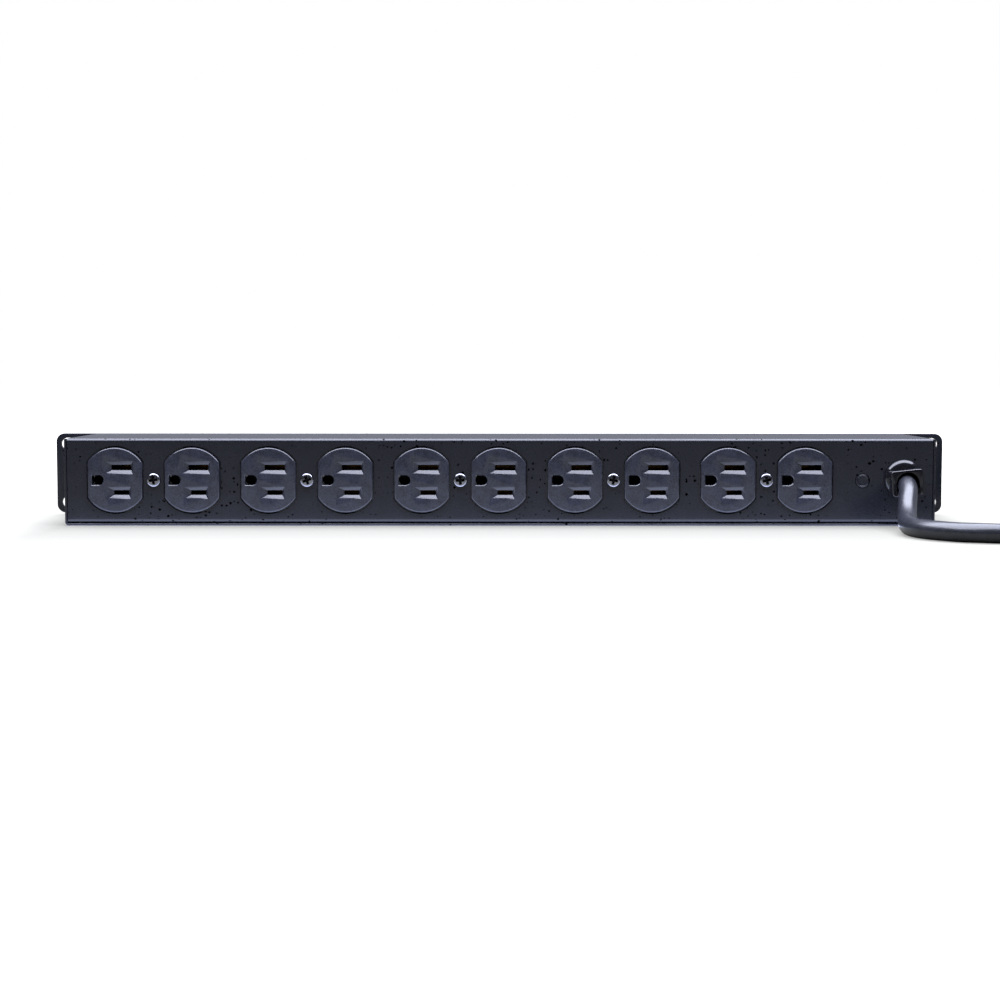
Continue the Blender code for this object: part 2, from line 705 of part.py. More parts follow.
def make_breaker():
    wide, high, deep = BREAKER_BODY
    z = PANEL_MID
    back = EAR_Y - GAP
    body = box("breaker_body", (BREAKER_X - wide / 2, back - deep, z - high / 2),
               (BREAKER_X + wide / 2, back, z + high / 2))
    neck_end = FRONT_Y + BREAKER_NECK_OUT
    neck = rod("breaker_neck", (BREAKER_X, back - 0.002, z), (BREAKER_X, neck_end, z),
               BREAKER_NECK, segments=24)
    bore = rod("breaker_bore", (BREAKER_X, back - BUTTON_BORE_DEPTH, z),
               (BREAKER_X, neck_end + 0.002, z), BUTTON_RADIUS + GAP)
    place_part("breaker_housing", finished(cut(join(body, neck), bore), BODY_PLASTIC))

    nut_radius, nut_thick = HEX_NUT
    loops = [circle((BREAKER_X, z), nut_radius, 6), circle((BREAKER_X, z), BREAKER_NECK + GAP, 24)]
    nut = prism("hex_nut", loops, *upright(FRONT_Y + GAP, FRONT_Y + GAP + nut_thick))
    place_part("breaker_nut", finished(nut, NICKEL))

    # The button's origin is on the axis that it slides along, at its tip
    radius, dome, length = BUTTON_RADIUS, BUTTON_DOME, BUTTON_LENGTH
    profile = [(0, 0), (radius * 0.6, -dome * 0.25), (radius * 0.9, -dome * 0.6),
               (radius, -dome), (radius, -length), (0, -length)]
    outwards = Matrix.Rotation(-math.pi / 2, 4, "X")
    button = turned("button_blank", profile, 20, outwards)
    place_part("breaker_button", finished(button, RESET_WHITE),
               (BREAKER_X, FRONT_Y + BREAKER_OUT, z))


# Outlet-face fittings


def make_ground_stud():
    """Clinched stud with a head flush with the sheet, and the nut that holds the ground wire."""
    inwards = Matrix.Translation((STUD_X, FACE_Y, STUD_Z)) @ Matrix.Rotation(math.pi / 2, 4, "X")
    shank, end = STUD_SHANK
    profile = [(0, 0), (STUD_HEAD - STUD_CHAMFER, 0), (STUD_HEAD, -STUD_CHAMFER),
               (STUD_HEAD, -SHEET), (shank, -SHEET), (shank, -end), (0, -end)]
    place_part("ground_stud", finished(turned("stud_blank", profile, 20, inwards), POWDER_COAT))
    radius, near, far = STUD_NUT
    loops = [circle((STUD_X, STUD_Z), radius, 6), circle((STUD_X, STUD_Z), shank + GAP, 16)]
    nut = prism("stud_nut", loops, *upright(FACE_Y + near, FACE_Y + far))
    place_part("ground_nut", finished(nut, ZINC))


def make_strain_relief():
    """Snap-in bushing: a round flange, an arched hood that is open below, and the inner wedge."""
    centre = Matrix.Translation((RELIEF_X, FACE_Y, RELIEF_Z))
    outwards = centre @ Matrix.Rotation(math.pi / 2, 4, "X")
    profile = list(RELIEF_RIM)
    profile += [(RELIEF_FLANGE, GAP), (RELIEF_NECK, GAP), (RELIEF_NECK, -RELIEF_IN), (0, -RELIEF_IN)]
    body = turned("flange", profile, 28, outwards)
    low, high = HOOD_Z
    outline = rounded_rectangle((RELIEF_X, (low + high) / 2), (HOOD_WIDE, high - low), 0.0018, 3)
    hood = prism("hood", [outline], *upright(FACE_Y - RELIEF_OUT, FACE_Y - 0.0020))
    rounded(hood, 0.0004, 1)
    below = low / 2
    arch = arc((RELIEF_X, ARCH_Z), RELIEF_BORE, 0, 180, 12)
    arch += [(RELIEF_X - RELIEF_BORE, below), (RELIEF_X + RELIEF_BORE, below)]
    opening = prism("arch", [arch], *upright(FACE_Y - RELIEF_OUT - 0.002, FACE_Y - ARCH_BACK))
    bore = rod("relief_bore", (RELIEF_X, FACE_Y - 0.6 * RELIEF_OUT, ARCH_Z),
               (RELIEF_X, FACE_Y + RELIEF_IN + 0.006, ARCH_Z), RELIEF_BORE)
    # The wedge sits in a pocket that is open at the top of the neck, behind the sheet
    half, near, far, above = WEDGE
    pocket = box("wedge_pocket", (RELIEF_X - half - GAP, FACE_Y + near - GAP, RELIEF_Z + 0.0020),
                 (RELIEF_X + half + GAP, FACE_Y + far + GAP, RELIEF_Z + 0.0120))
    cut(join(body, hood), opening, bore, pocket)
    mesh = finished(body, NYLON_BLACK)
    turn = Matrix.Rotation(RELIEF_TURN, 4, "Y")
    mesh.transform(centre.inverted())
    mesh.transform(turn.inverted())
    place_part("strain_relief", mesh, (RELIEF_X, FACE_Y, RELIEF_Z))

    top = CORD_Z + CORD_RADIUS + GAP
    wedge = box("wedge_block", (-half, near, top - RELIEF_Z), (half, far, above))
    mesh = finished(rounded(wedge, 0.0004, 1), NYLON_BLACK)
    mesh.transform(turn.inverted())
    place_part("strain_relief_wedge", mesh, (RELIEF_X, FACE_Y, RELIEF_Z))


# Wires


def smooth_path(points, spacing):
    """Natural cubic spline through the points, read at about the given spacing."""
    points = np.array(points, float)
    knots = np.concatenate([[0], np.cumsum(np.linalg.norm(np.diff(points, axis=0), axis=1))])
    h = np.diff(knots)
    n = len(points)
    system = np.eye(n)
    right = np.zeros_like(points)
    for i in range(1, n - 1):
        system[i, i - 1 : i + 2] = h[i - 1], 2 * (h[i - 1] + h[i]), h[i]
        right[i] = 6 * ((points[i + 1] - points[i]) / h[i] - (points[i] - points[i - 1]) / h[i - 1])
    bend = np.linalg.solve(system, right)
    count = max(3, int(round(knots[-1] / spacing)) + 1)
    found = []
    for t in np.linspace(0, knots[-1], count):
        i = min(int(np.searchsorted(knots, t, side="right")) - 1, n - 2)
        a, b = knots[i + 1] - t, t - knots[i]
        found.append(
            (bend[i] * a**3 + bend[i + 1] * b**3) / (6 * h[i])
            + (points[i] / h[i] - bend[i] * h[i] / 6) * a
            + (points[i + 1] / h[i] - bend[i + 1] * h[i] / 6) * b
        )
    return found


WIRE = 0.0016
BUS_Y = FACE_Y + HOUSING_DEPTH + TAIL_OUT + GAP + WIRE
LEAD_END = (RELIEF_X, FACE_Y + 0.0180, CORD_Z)  # inner end of the jacket


def make_wires():
    """Line: lead, switch, breaker, bus. Neutral: lead to bus. Ground: lead to stud."""
    x, y, z = LEAD_END
    y += WIRE
    switch_back = FRONT_Y + GAP + SWITCH_BEZEL[2] - SWITCH_BODY[2] - WIRE
    breaker_back = EAR_Y - GAP - BREAKER_BODY[2] - WIRE
    first_x = FIRST_DUPLEX_X - 0.004
    upper, lower = OUTLET_Z + BLADE_Z, OUTLET_Z - BLADE_Z
    runs = {
        "line_lead": ([(x + 0.0022, y, z - 0.002), (x + 0.0024, y + 0.006, z - 0.003),
                       (x + 0.0010, y + 0.013, z - 0.005), (x - 0.0070, switch_back, z - 0.008)],
                      WIRE_BLACK),
        "line_jumper": ([(SWITCH_X - 0.0060, switch_back, PANEL_MID + 0.008),
                         (SWITCH_X - 0.0120, switch_back - 0.004, PANEL_MID + 0.009),
                         (BREAKER_X + 0.0100, breaker_back - 0.004, PANEL_MID + 0.010),
                         (BREAKER_X + 0.0020, breaker_back, PANEL_MID + 0.009)],
                        WIRE_BLACK),
        "line_bus": ([(BREAKER_X, breaker_back, PANEL_MID - 0.009),
                      (BREAKER_X - 0.0060, breaker_back - 0.006, PANEL_MID - 0.008),
                      (BREAKER_X - 0.0200, BUS_Y, lower), (BREAKER_X - 0.0400, BUS_Y, lower),
                      (0.0, BUS_Y, lower), (first_x + 0.02, BUS_Y, lower), (first_x, BUS_Y, lower)],
                     WIRE_BLACK),
        "neutral_bus": ([(x - 0.0022, y, z + 0.0020), (x - 0.0060, y + 0.0050, z + 0.0050),
                         (x - 0.0200, BUS_Y, upper), (BREAKER_X - 0.0200, BUS_Y, upper),
                         (0.0, BUS_Y, upper), (first_x + 0.02, BUS_Y, upper),
                         (first_x, BUS_Y, upper)],
                        WIRE_WHITE),
        "ground_lead": ([(x - 0.0024, y, z - 0.0022), (x - 0.0080, y + 0.0015, z - 0.0060),
                         (STUD_X + 0.0060, FACE_Y + 0.0150, STUD_Z - 0.0065),
                         (STUD_X + 0.0012, FACE_Y + 0.0100, STUD_Z - 0.0062),
                         (STUD_X, FACE_Y + 0.0040, STUD_Z - 0.0060)],
                        WIRE_GREEN),
    }
    for name, (route, finish) in runs.items():
        straight_part = max(abs(b[0] - a[0]) for a, b in zip(route, route[1:])) > 0.05
        points = route if straight_part else smooth_path(route, 0.004)
        place_part(name, finished(tube(name + "_run", points, WIRE, 2), finish))


# Mains lead. Its route is given in metres from the point where it leaves the sheet; it runs
# down to the surface, turns along the strip and is put away in a coil.

CORD_ROUTE = [
    (0.0000, 0.0180, 0.0224),
    (0.0000, 0.0090, 0.0224),
    (0.0000, 0.0000, 0.0223),
    (-0.0003, -0.0100, 0.0213),
    (-0.0020, -0.0200, 0.0176),
    (-0.0045, -0.0290, 0.0123),
    (-0.0065, -0.0380, 0.0077),
    (-0.0083, -0.0470, 0.0052),
    (-0.0093, -0.0560, 0.0047),
    (-0.0082, -0.0670, 0.0047),
    (-0.0034, -0.0780, 0.0047),
    (0.0047, -0.0870, 0.0047),
    (0.0157, -0.0930, 0.0047),
    (0.0280, -0.0957, 0.0047),
    (0.0410, -0.0962, 0.0047),
    (0.0600, -0.0958, 0.0048),
    (0.0800, -0.0954, 0.0050),
    (0.0960, -0.0952, 0.0053),
]
COIL_LOW = 0.0010  # the coil rests on its tie
COIL_TOP = COIL_LOW + COIL_HIGH * 2 * CORD_RADIUS
COIL_HALF = COIL_WIDE * CORD_RADIUS
COIL_Y = FACE_Y - 0.0952 + COIL_MEAN + COIL_HALF - CORD_RADIUS


def make_cord():
    start = Vector((RELIEF_X, FACE_Y, 0))
    route = [start + Vector(point) for point in CORD_ROUTE]
    points = smooth_path(route, 2.2 * CORD_RADIUS)
    place_part("cord", finished(tube("cord_run", points, CORD_RADIUS, 3), JACKET))


def make_coil():
    """Outer shape of the coil, and the tie round it."""
    inner, outer = COIL_MEAN - COIL_HALF, COIL_MEAN + COIL_HALF
    round_off = 0.0020
    profile = [(inner + round_off, COIL_TOP), (outer - round_off, COIL_TOP),
               (outer, COIL_TOP - round_off), (outer, COIL_LOW + round_off),
               (outer - round_off, COIL_LOW), (inner + round_off, COIL_LOW),
               (inner, COIL_LOW + round_off), (inner, COIL_TOP - round_off),
               (inner + round_off, COIL_TOP)]
    centre = Matrix.Translation((COIL_X, COIL_Y, 0))
    place_part("cord_coil", finished(turned("coil_ring", profile, 40, centre), JACKET))

    # The tie's section stands across the ring, on its far side
    size = (2 * (COIL_HALF + TIE_CLEAR), COIL_TOP - COIL_LOW + 2 * GAP)
    middle = (0, (COIL_LOW - GAP + COIL_TOP + GAP) / 2)
    outside = (size[0] + 2 * TIE_THICK, size[1] + 2 * TIE_THICK)
    loops = [rounded_rectangle(middle, outside, 0.0010 + TIE_THICK, 3),
             rounded_rectangle(middle, size, 0.0010, 3)]
    tie = prism("tie_band", loops, *upright(-TIE_WIDE / 2, TIE_WIDE / 2))
    spot = (COIL_X + COIL_MEAN * math.cos(TIE_ANGLE), COIL_Y + COIL_MEAN * math.sin(TIE_ANGLE), 0)
    place_part("coil_tie", finished(tie, TIE_CLOTH), spot, TIE_ANGLE)


# The plug lies on the coil. It is modelled along +X with its blades ahead of the face at x = 0.

PLUG_ANGLE = math.radians(205)  # its place round the coil
PLUG_LENGTH = 0.0300
BOOT_LENGTH = 0.0300
PLUG_SIZE = (0.0270, 0.0250)
BLADE = (0.0063, 0.0015, 0.0175)
BLADE_ROOT = 0.0040
PIN_RADIUS = 0.00238
PIN_REACH = 0.0210
PLUG_BLADES = (0.00635, 0.0040)  # sideways and up from the middle of the plug's face
PLUG_PIN_Z = -0.0079
PLUG_INSET = 0.0010  # the plug's middle, inside the coil's mean radius
BOOT_RADII = (0.0098, 0.0062)
BOOT_BORE = 0.0080


def make_plug():
    along = Vector((math.cos(PLUG_ANGLE + math.pi / 2), math.sin(PLUG_ANGLE + math.pi / 2), 0))
    radial = Vector((math.cos(PLUG_ANGLE), math.sin(PLUG_ANGLE), 0))
    lift = COIL_TOP + GAP + PLUG_SIZE[1] / 2
    middle = Vector((COIL_X, COIL_Y, lift)) + radial * (COIL_MEAN - PLUG_INSET)
    face = middle + along * (PLUG_LENGTH + BOOT_LENGTH) / 2
    turn = PLUG_ANGLE + math.pi / 2

    # Outlines are drawn across the plug, and their thickness runs along X
    across = Matrix(((0, 0, 1, 0), (1, 0, 0, 0), (0, 1, 0, 0), (0, 0, 0, 1)))
    outline = rounded_rectangle((0, 0), PLUG_SIZE, 0.0090, 5)
    body = prism("plug_block", [outline], PLUG_LENGTH,
                 Matrix.Translation((-PLUG_LENGTH / 2, 0, 0)) @ across)
    rounded(body, 0.0016)
    boot = rod("plug_boot", (-PLUG_LENGTH + BLADE_ROOT, 0, 0), (-PLUG_LENGTH - BOOT_LENGTH, 0, 0),
               *BOOT_RADII, 20)
    join(body, boot)
    (blade_y, blade_z), pin_z = PLUG_BLADES, PLUG_PIN_Z
    for side in (-1, 1):
        y = side * blade_y
        cut(body, box(f"blade_pocket_{side}",
                      (-BLADE_ROOT - GAP, y - BLADE[1] / 2 - GAP, blade_z - BLADE[0] / 2 - GAP),
                      (0.002, y + BLADE[1] / 2 + GAP, blade_z + BLADE[0] / 2 + GAP)))
    cut(body, rod("pin_pocket", (-BLADE_ROOT - GAP, 0, pin_z), (0.002, 0, pin_z),
                  PIN_RADIUS + GAP, segments=16))
    entry = -PLUG_LENGTH - BOOT_LENGTH
    cut(body, rod("cord_entry", (entry - 0.002, 0, 0), (entry + BOOT_BORE, 0, 0),
                  CORD_RADIUS + GAP, segments=16))
    place_part("plug_body", finished(body, JACKET), face, turn)
    blade = rounded(box("blade", (-BLADE_ROOT, -BLADE[1] / 2, -BLADE[0] / 2),
                        (BLADE[2], BLADE[1] / 2, BLADE[0] / 2)), 0.0003, 1)
    mesh = finished(blade, NICKEL)
    sideways = Vector((-along.y, along.x, 0))
    for name, side in (("plug_blade_line", -1), ("plug_blade_neutral", 1)):
        place_part(name, mesh, face + sideways * side * blade_y + Vector((0, 0, blade_z)), turn)
    cone = PIN_REACH - PIN_RADIUS
    pin = rod("pin_blank", (-BLADE_ROOT, 0, 0), (cone + GAP, 0, 0), PIN_RADIUS, segments=16)
    tip = rod("pin_tip", (cone, 0, 0), (PIN_REACH, 0, 0), PIN_RADIUS, PIN_RADIUS / 2, 16)
    place_part("plug_ground_pin", finished(join(pin, tip), NICKEL),
               face + Vector((0, 0, pin_z)), turn)
    return face, along


# Angle from the plug round the coil in degrees, distance from its middle, and height
TAIL = [
    (-150, 0.0560, COIL_TOP + CORD_RADIUS + GAP),
    (-128, 0.0572, COIL_TOP + CORD_RADIUS + GAP),
    (-105, 0.0600, COIL_TOP + CORD_RADIUS + 0.0006),
    (-82, 0.0645, COIL_TOP + CORD_RADIUS + 0.0022),
    (-60, 0.0685, COIL_TOP + CORD_RADIUS + 0.0052),
]


def make_tail(face, along):
    """Last stretch of the lead, from the top of the coil round to the plug."""
    radial = Vector((math.cos(PLUG_ANGLE), math.sin(PLUG_ANGLE), 0))
    entry = face - along * (PLUG_LENGTH + BOOT_LENGTH)
    centre = Vector((COIL_X, COIL_Y, 0))
    points = []
    for degrees, radius, height in TAIL:
        angle = PLUG_ANGLE + math.radians(degrees)
        points.append(centre + Vector((radius * math.cos(angle), radius * math.sin(angle), height)))
    points += [entry - along * 0.014, entry, entry + along * (BOOT_BORE - 0.0010)]
    place_part("cord_tail", finished(tube("tail_run", smooth_path(points, 2.2 * CORD_RADIUS),
                                          CORD_RADIUS, 3), JACKET))


make_chassis()
make_bottom_cover()
make_front_panel()
make_screws()
make_receptacles()
make_switch()
make_breaker()
make_ground_stud()
make_strain_relief()
make_wires()
make_cord()
make_coil()
plug_face, plug_along = make_plug()
make_tail(plug_face, plug_along)
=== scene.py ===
import math

import bmesh
import bpy
import numpy as np
from mathutils import Matrix, Vector


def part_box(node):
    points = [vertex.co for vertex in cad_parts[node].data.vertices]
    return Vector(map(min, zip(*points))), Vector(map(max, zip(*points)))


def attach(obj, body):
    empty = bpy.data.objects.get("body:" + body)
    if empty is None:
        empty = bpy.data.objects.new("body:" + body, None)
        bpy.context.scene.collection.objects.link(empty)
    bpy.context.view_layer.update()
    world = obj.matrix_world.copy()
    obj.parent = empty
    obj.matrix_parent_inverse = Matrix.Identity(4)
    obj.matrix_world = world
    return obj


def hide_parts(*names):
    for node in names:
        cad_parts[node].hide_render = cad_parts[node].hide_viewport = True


# Rack power strip, seen from its outlet face. Metres, +Z up, outlets towards -Y, rack panel
# towards +Y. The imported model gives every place; this script gives it its surfaces.

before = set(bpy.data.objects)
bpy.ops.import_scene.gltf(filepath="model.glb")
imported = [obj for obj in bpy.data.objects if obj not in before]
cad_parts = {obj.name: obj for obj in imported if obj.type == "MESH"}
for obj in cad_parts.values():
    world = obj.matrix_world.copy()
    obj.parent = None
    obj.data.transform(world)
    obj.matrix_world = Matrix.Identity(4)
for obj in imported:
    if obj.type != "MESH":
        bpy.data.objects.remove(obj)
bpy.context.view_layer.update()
scene = bpy.context.scene
scene.view_settings.view_transform = "Standard"  # keeps the studio white plainly white

chassisLow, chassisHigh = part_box("chassis")
panelLow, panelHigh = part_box("front_panel")
faceY = chassisLow[1]  # outside of the outlet face
farY = chassisHigh[1]  # back of the far flanges
earY, frontY = panelLow[1], panelHigh[1]
gap = 0.0003  # air left between pieces that touch
print("frame loaded:", len(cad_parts), "nodes")


camera = {
    "place": (-0.0032, -0.9422, 0.0779),
    "down": 4.101,  # degrees below level
    "right": 0.195,  # degrees to the right of +Y
    "roll": 0.036,
    "focal": 64.37,  # mm, on a 36 mm sensor
}


def makeCamera(values):
    data = bpy.data.cameras.new("camera")
    data.sensor_width = 36
    data.lens = values["focal"]
    data.clip_start, data.clip_end = 0.05, 60
    made = bpy.data.objects.new("camera", data)
    scene.collection.objects.link(made)
    turn = (
        Matrix.Rotation(math.radians(-values["right"]), 4, "Z")
        @ Matrix.Rotation(math.radians(90 - values["down"]), 4, "X")
        @ Matrix.Rotation(math.radians(values["roll"]), 4, "Z")
    )
    made.matrix_world = Matrix.Translation(values["place"]) @ turn
    scene.camera = made


makeCamera(camera)
print("camera placed")


# Grid of points (rows, columns, 3) as a mesh. Each row is a closed loop of columns; the first
# and the last row are closed by one flat face each.
def gridMesh(name, grid, capped=True):
    rows, columns = grid.shape[:2]
    index = np.arange(rows * columns).reshape(rows, columns)
    right = np.roll(index, -1, axis=1)
    quads = np.stack([index[:-1], right[:-1], right[1:], index[1:]], axis=-1).reshape(-1, 4)
    faces = quads.tolist()
    if capped:
        faces += [index[0][::-1].tolist(), index[-1].tolist()]
    mesh = bpy.data.meshes.new(name)
    mesh.from_pydata(grid.reshape(-1, 3).tolist(), [], faces)
    return outward(mesh)


# Doubles merged, then every face turned to point out of the closed shape
def outward(mesh):
    work = bmesh.new()
    work.from_mesh(mesh)
    bmesh.ops.remove_doubles(work, verts=work.verts, dist=2e-7)
    bmesh.ops.recalc_face_normals(work, faces=work.faces)
    work.to_mesh(mesh)
    work.free()
    return mesh


# Point on an arc: centre + radius * (cos a, sin a), for a from start to end in degrees
def arc(centre, radius, start, end, steps):
    a = np.radians(np.linspace(start, end, steps + 1))
    return np.stack([centre[0] + radius * np.cos(a), centre[1] + radius * np.sin(a)], axis=1)


def circle(centre, radius, steps=64):
    return arc(centre, radius, 0, 360, steps)[:-1]


def roundedRectangle(centre, size, radius, steps=8):
    x, y = size[0] / 2 - radius, size[1] / 2 - radius
    corners = ((0, x, y), (90, -x, y), (180, -x, -y), (270, x, -y))
    return np.concatenate(
        [arc((centre[0] + cx, centre[1] + cy), radius, a, a + 90, steps) for a, cx, cy in corners]
    )


def slotOutline(centre, size, steps=16):
    reach = (size[0] - size[1]) / 2
    right = arc((centre[0] + reach, centre[1]), size[1] / 2, -90, 90, steps)
    left = arc((centre[0] - reach, centre[1]), size[1] / 2, 90, 270, steps)
    return np.concatenate([right, left])


# Circle cut by two upright flats, the outline of a duplex outlet
def flattenedCircle(centre, radius, flat, steps=48):
    edge = math.degrees(math.acos(flat / radius))
    upper = arc(centre, radius, edge, 180 - edge, steps)
    return np.concatenate([upper, arc(centre, radius, 180 + edge, 360 - edge, steps)])


# Outline moved inwards: each point goes along the sum of its two edge normals, divided by one
# plus their dot product, times the inset
def insetOutline(outline, inset):
    ahead = np.roll(outline, -1, axis=0) - outline
    ahead /= np.linalg.norm(ahead, axis=1, keepdims=True)
    normal = np.stack([-ahead[:, 1], ahead[:, 0]], axis=1)
    before = np.roll(normal, 1, axis=0)
    share = 1 + (normal * before).sum(axis=1, keepdims=True)
    return outline + (normal + before) / share * inset


# Outline in X and Z carried through levels of (inset, y), one row of the grid for each level
def carriedOutline(name, outline, levels):
    rows = []
    for inset, y in levels:
        rows.append(np.insert(insetOutline(outline, inset), 1, y, axis=1))
    return gridMesh(name, np.array(rows))


# Levels of a plate between two depths whose edges are rounded: inset r - r sin t at r cos t
# below each face, for t from 0 to 90 degrees
def roundedLevels(low, high, radius, steps=4, both=True):
    t = np.radians(np.linspace(0, 90, steps + 1))
    near = np.stack([radius * (1 - np.sin(t)), low + radius * (1 - np.cos(t))], axis=1)
    if not both:
        return [*near.tolist(), [0.0, high]]
    far = np.stack([radius * (1 - np.sin(t)), high - radius * (1 - np.cos(t))], axis=1)
    return near.tolist() + far[::-1].tolist()


# Profile of (radius, height) pairs turned about an axis: point = place @ (r cos a, r sin a, h)
def turnedProfile(name, profile, place, steps=64, closed=False):
    profile = np.array(profile)
    a = np.linspace(0, 2 * np.pi, steps, endpoint=False)
    radius, height = profile[:, :1], profile[:, 1:]
    grid = np.stack(
        [radius * np.cos(a), radius * np.sin(a), np.broadcast_to(height, (len(profile), steps))],
        axis=2,
    )
    if closed:
        grid = np.concatenate([grid, grid[:1]])
    return transformed(gridMesh(name, grid, capped=not closed), place)


def transformed(mesh, place):
    mesh.transform(Matrix(place))
    return outward(mesh)


# Profile of a plain rod between two heights
def rodProfile(radius, low, high):
    return [(0.0, low), (radius, low), (radius, high), (0.0, high)]


# A place whose own axes are turned some quarters about X or Y
def quarterTurn(place, axis, quarters=1):
    return Matrix.Translation(place) @ Matrix.Rotation(quarters * math.pi / 2, 4, axis)


# Block rounded along Y by its outline and at its two faces by the levels
def roundedBlock(name, low, high, radius, steps=3):
    low, high = np.array(low), np.array(high)
    outline = roundedRectangle((low + high)[[0, 2]] / 2, (high - low)[[0, 2]], radius, steps)
    return carriedOutline(name, outline, roundedLevels(low[1], high[1], radius * 0.8, steps))


# Closed meshes joined or cut, in that order of steps, by exact Booleans
def carved(mesh, steps):
    body = bpy.data.objects.new("carving", mesh)
    scene.collection.objects.link(body)
    tools = []
    for operation, tool in steps:
        cutter = bpy.data.objects.new("tool", tool)
        scene.collection.objects.link(cutter)
        tools.append(cutter)
        step = body.modifiers.new("step", "BOOLEAN")
        step.operation = operation
        step.object = cutter
    graph = bpy.context.evaluated_depsgraph_get()
    result = bpy.data.meshes.new_from_object(body.evaluated_get(graph))
    for used in (body, *tools):
        bpy.data.objects.remove(used)
    return result


def joined(meshes):
    work = bmesh.new()
    for mesh in meshes:
        work.from_mesh(mesh)
    result = bpy.data.meshes.new("joined")
    work.to_mesh(result)
    work.free()
    return result


# The middle of every face, as rows of X, Y and Z
def faceMiddles(mesh):
    middles = np.empty(len(mesh.polygons) * 3)
    mesh.polygons.foreach_get("center", middles)
    return middles.reshape(-1, 3)


# Second finish on some of a piece's faces
def finishFaces(piece, material, faces):
    piece.data.materials.append(material)
    piece.data.polygons.foreach_set("material_index", faces.astype(int))


# UV across or round a piece (u) and along it in metres (v), one row for each face corner
def layAlong(mesh, u, v):
    layer = mesh.uv_layers.new(name="along")
    layer.data.foreach_set("uv", np.stack([u, v], axis=1).ravel().astype(np.float32))


def faceCorners(mesh):
    corner = np.empty(len(mesh.loops), np.int32)
    mesh.loops.foreach_get("vertex_index", corner)
    return corner


# A finished piece: its mesh is in place, so that its object stays at the origin
def addPiece(name, mesh, material, body="root", replaces=(), sharp=32):
    mesh.materials.clear()
    mesh.materials.append(material)
    mesh.shade_smooth()
    mesh.set_sharp_from_angle(angle=math.radians(sharp))
    mesh.name = name
    piece = bpy.data.objects.new(name, mesh)
    scene.collection.objects.link(piece)
    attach(piece, body)
    if replaces:
        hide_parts(*replaces)
    return piece


def linear(code):
    s = np.array([int(code[i : i + 2], 16) for i in (1, 3, 5)]) / 255
    return (*np.where(s <= 0.04045, s / 12.92, ((s + 0.055) / 1.055) ** 2.4).tolist(), 1.0)


# One node with its settings. An input is given a number, a colour or another node's output;
# what comes back is the node's own output of that name or number, or the node if out is None
def addNode(tree, kind, inputs, out=0, **settings):
    node = tree.nodes.new("ShaderNode" + kind)
    for name, value in settings.items():
        setattr(node, name, value)
    for name, value in inputs.items():
        if isinstance(value, bpy.types.NodeSocket):
            tree.links.new(value, node.inputs[name])
        else:
            node.inputs[name].default_value = value
    return node if out is None else node.outputs[out]


def emptyMaterial(name):
    material = bpy.data.materials.new(name)
    material.use_nodes = True
    material.node_tree.nodes.clear()
    return material, material.node_tree


# How every finish ends: its gloss goes from bright to dull with the grain, over a raised relief
def closeMaterial(tree, values, colour, grain, relief, extra):
    bright, dull = values["gloss"]
    gloss = addNode(tree, "MapRange", {0: grain, 1: 0.3, 2: 0.7, 3: bright, 4: dull})
    bump = addNode(tree, "Bump", {"Height": relief, "Distance": values["depthMm"] / 1000})
    inputs = {"Base Color": colour, "Roughness": gloss, "Normal": bump, **extra}
    surface = addNode(tree, "BsdfPrincipled", inputs)
    addNode(tree, "OutputMaterial", {"Surface": surface}, None)


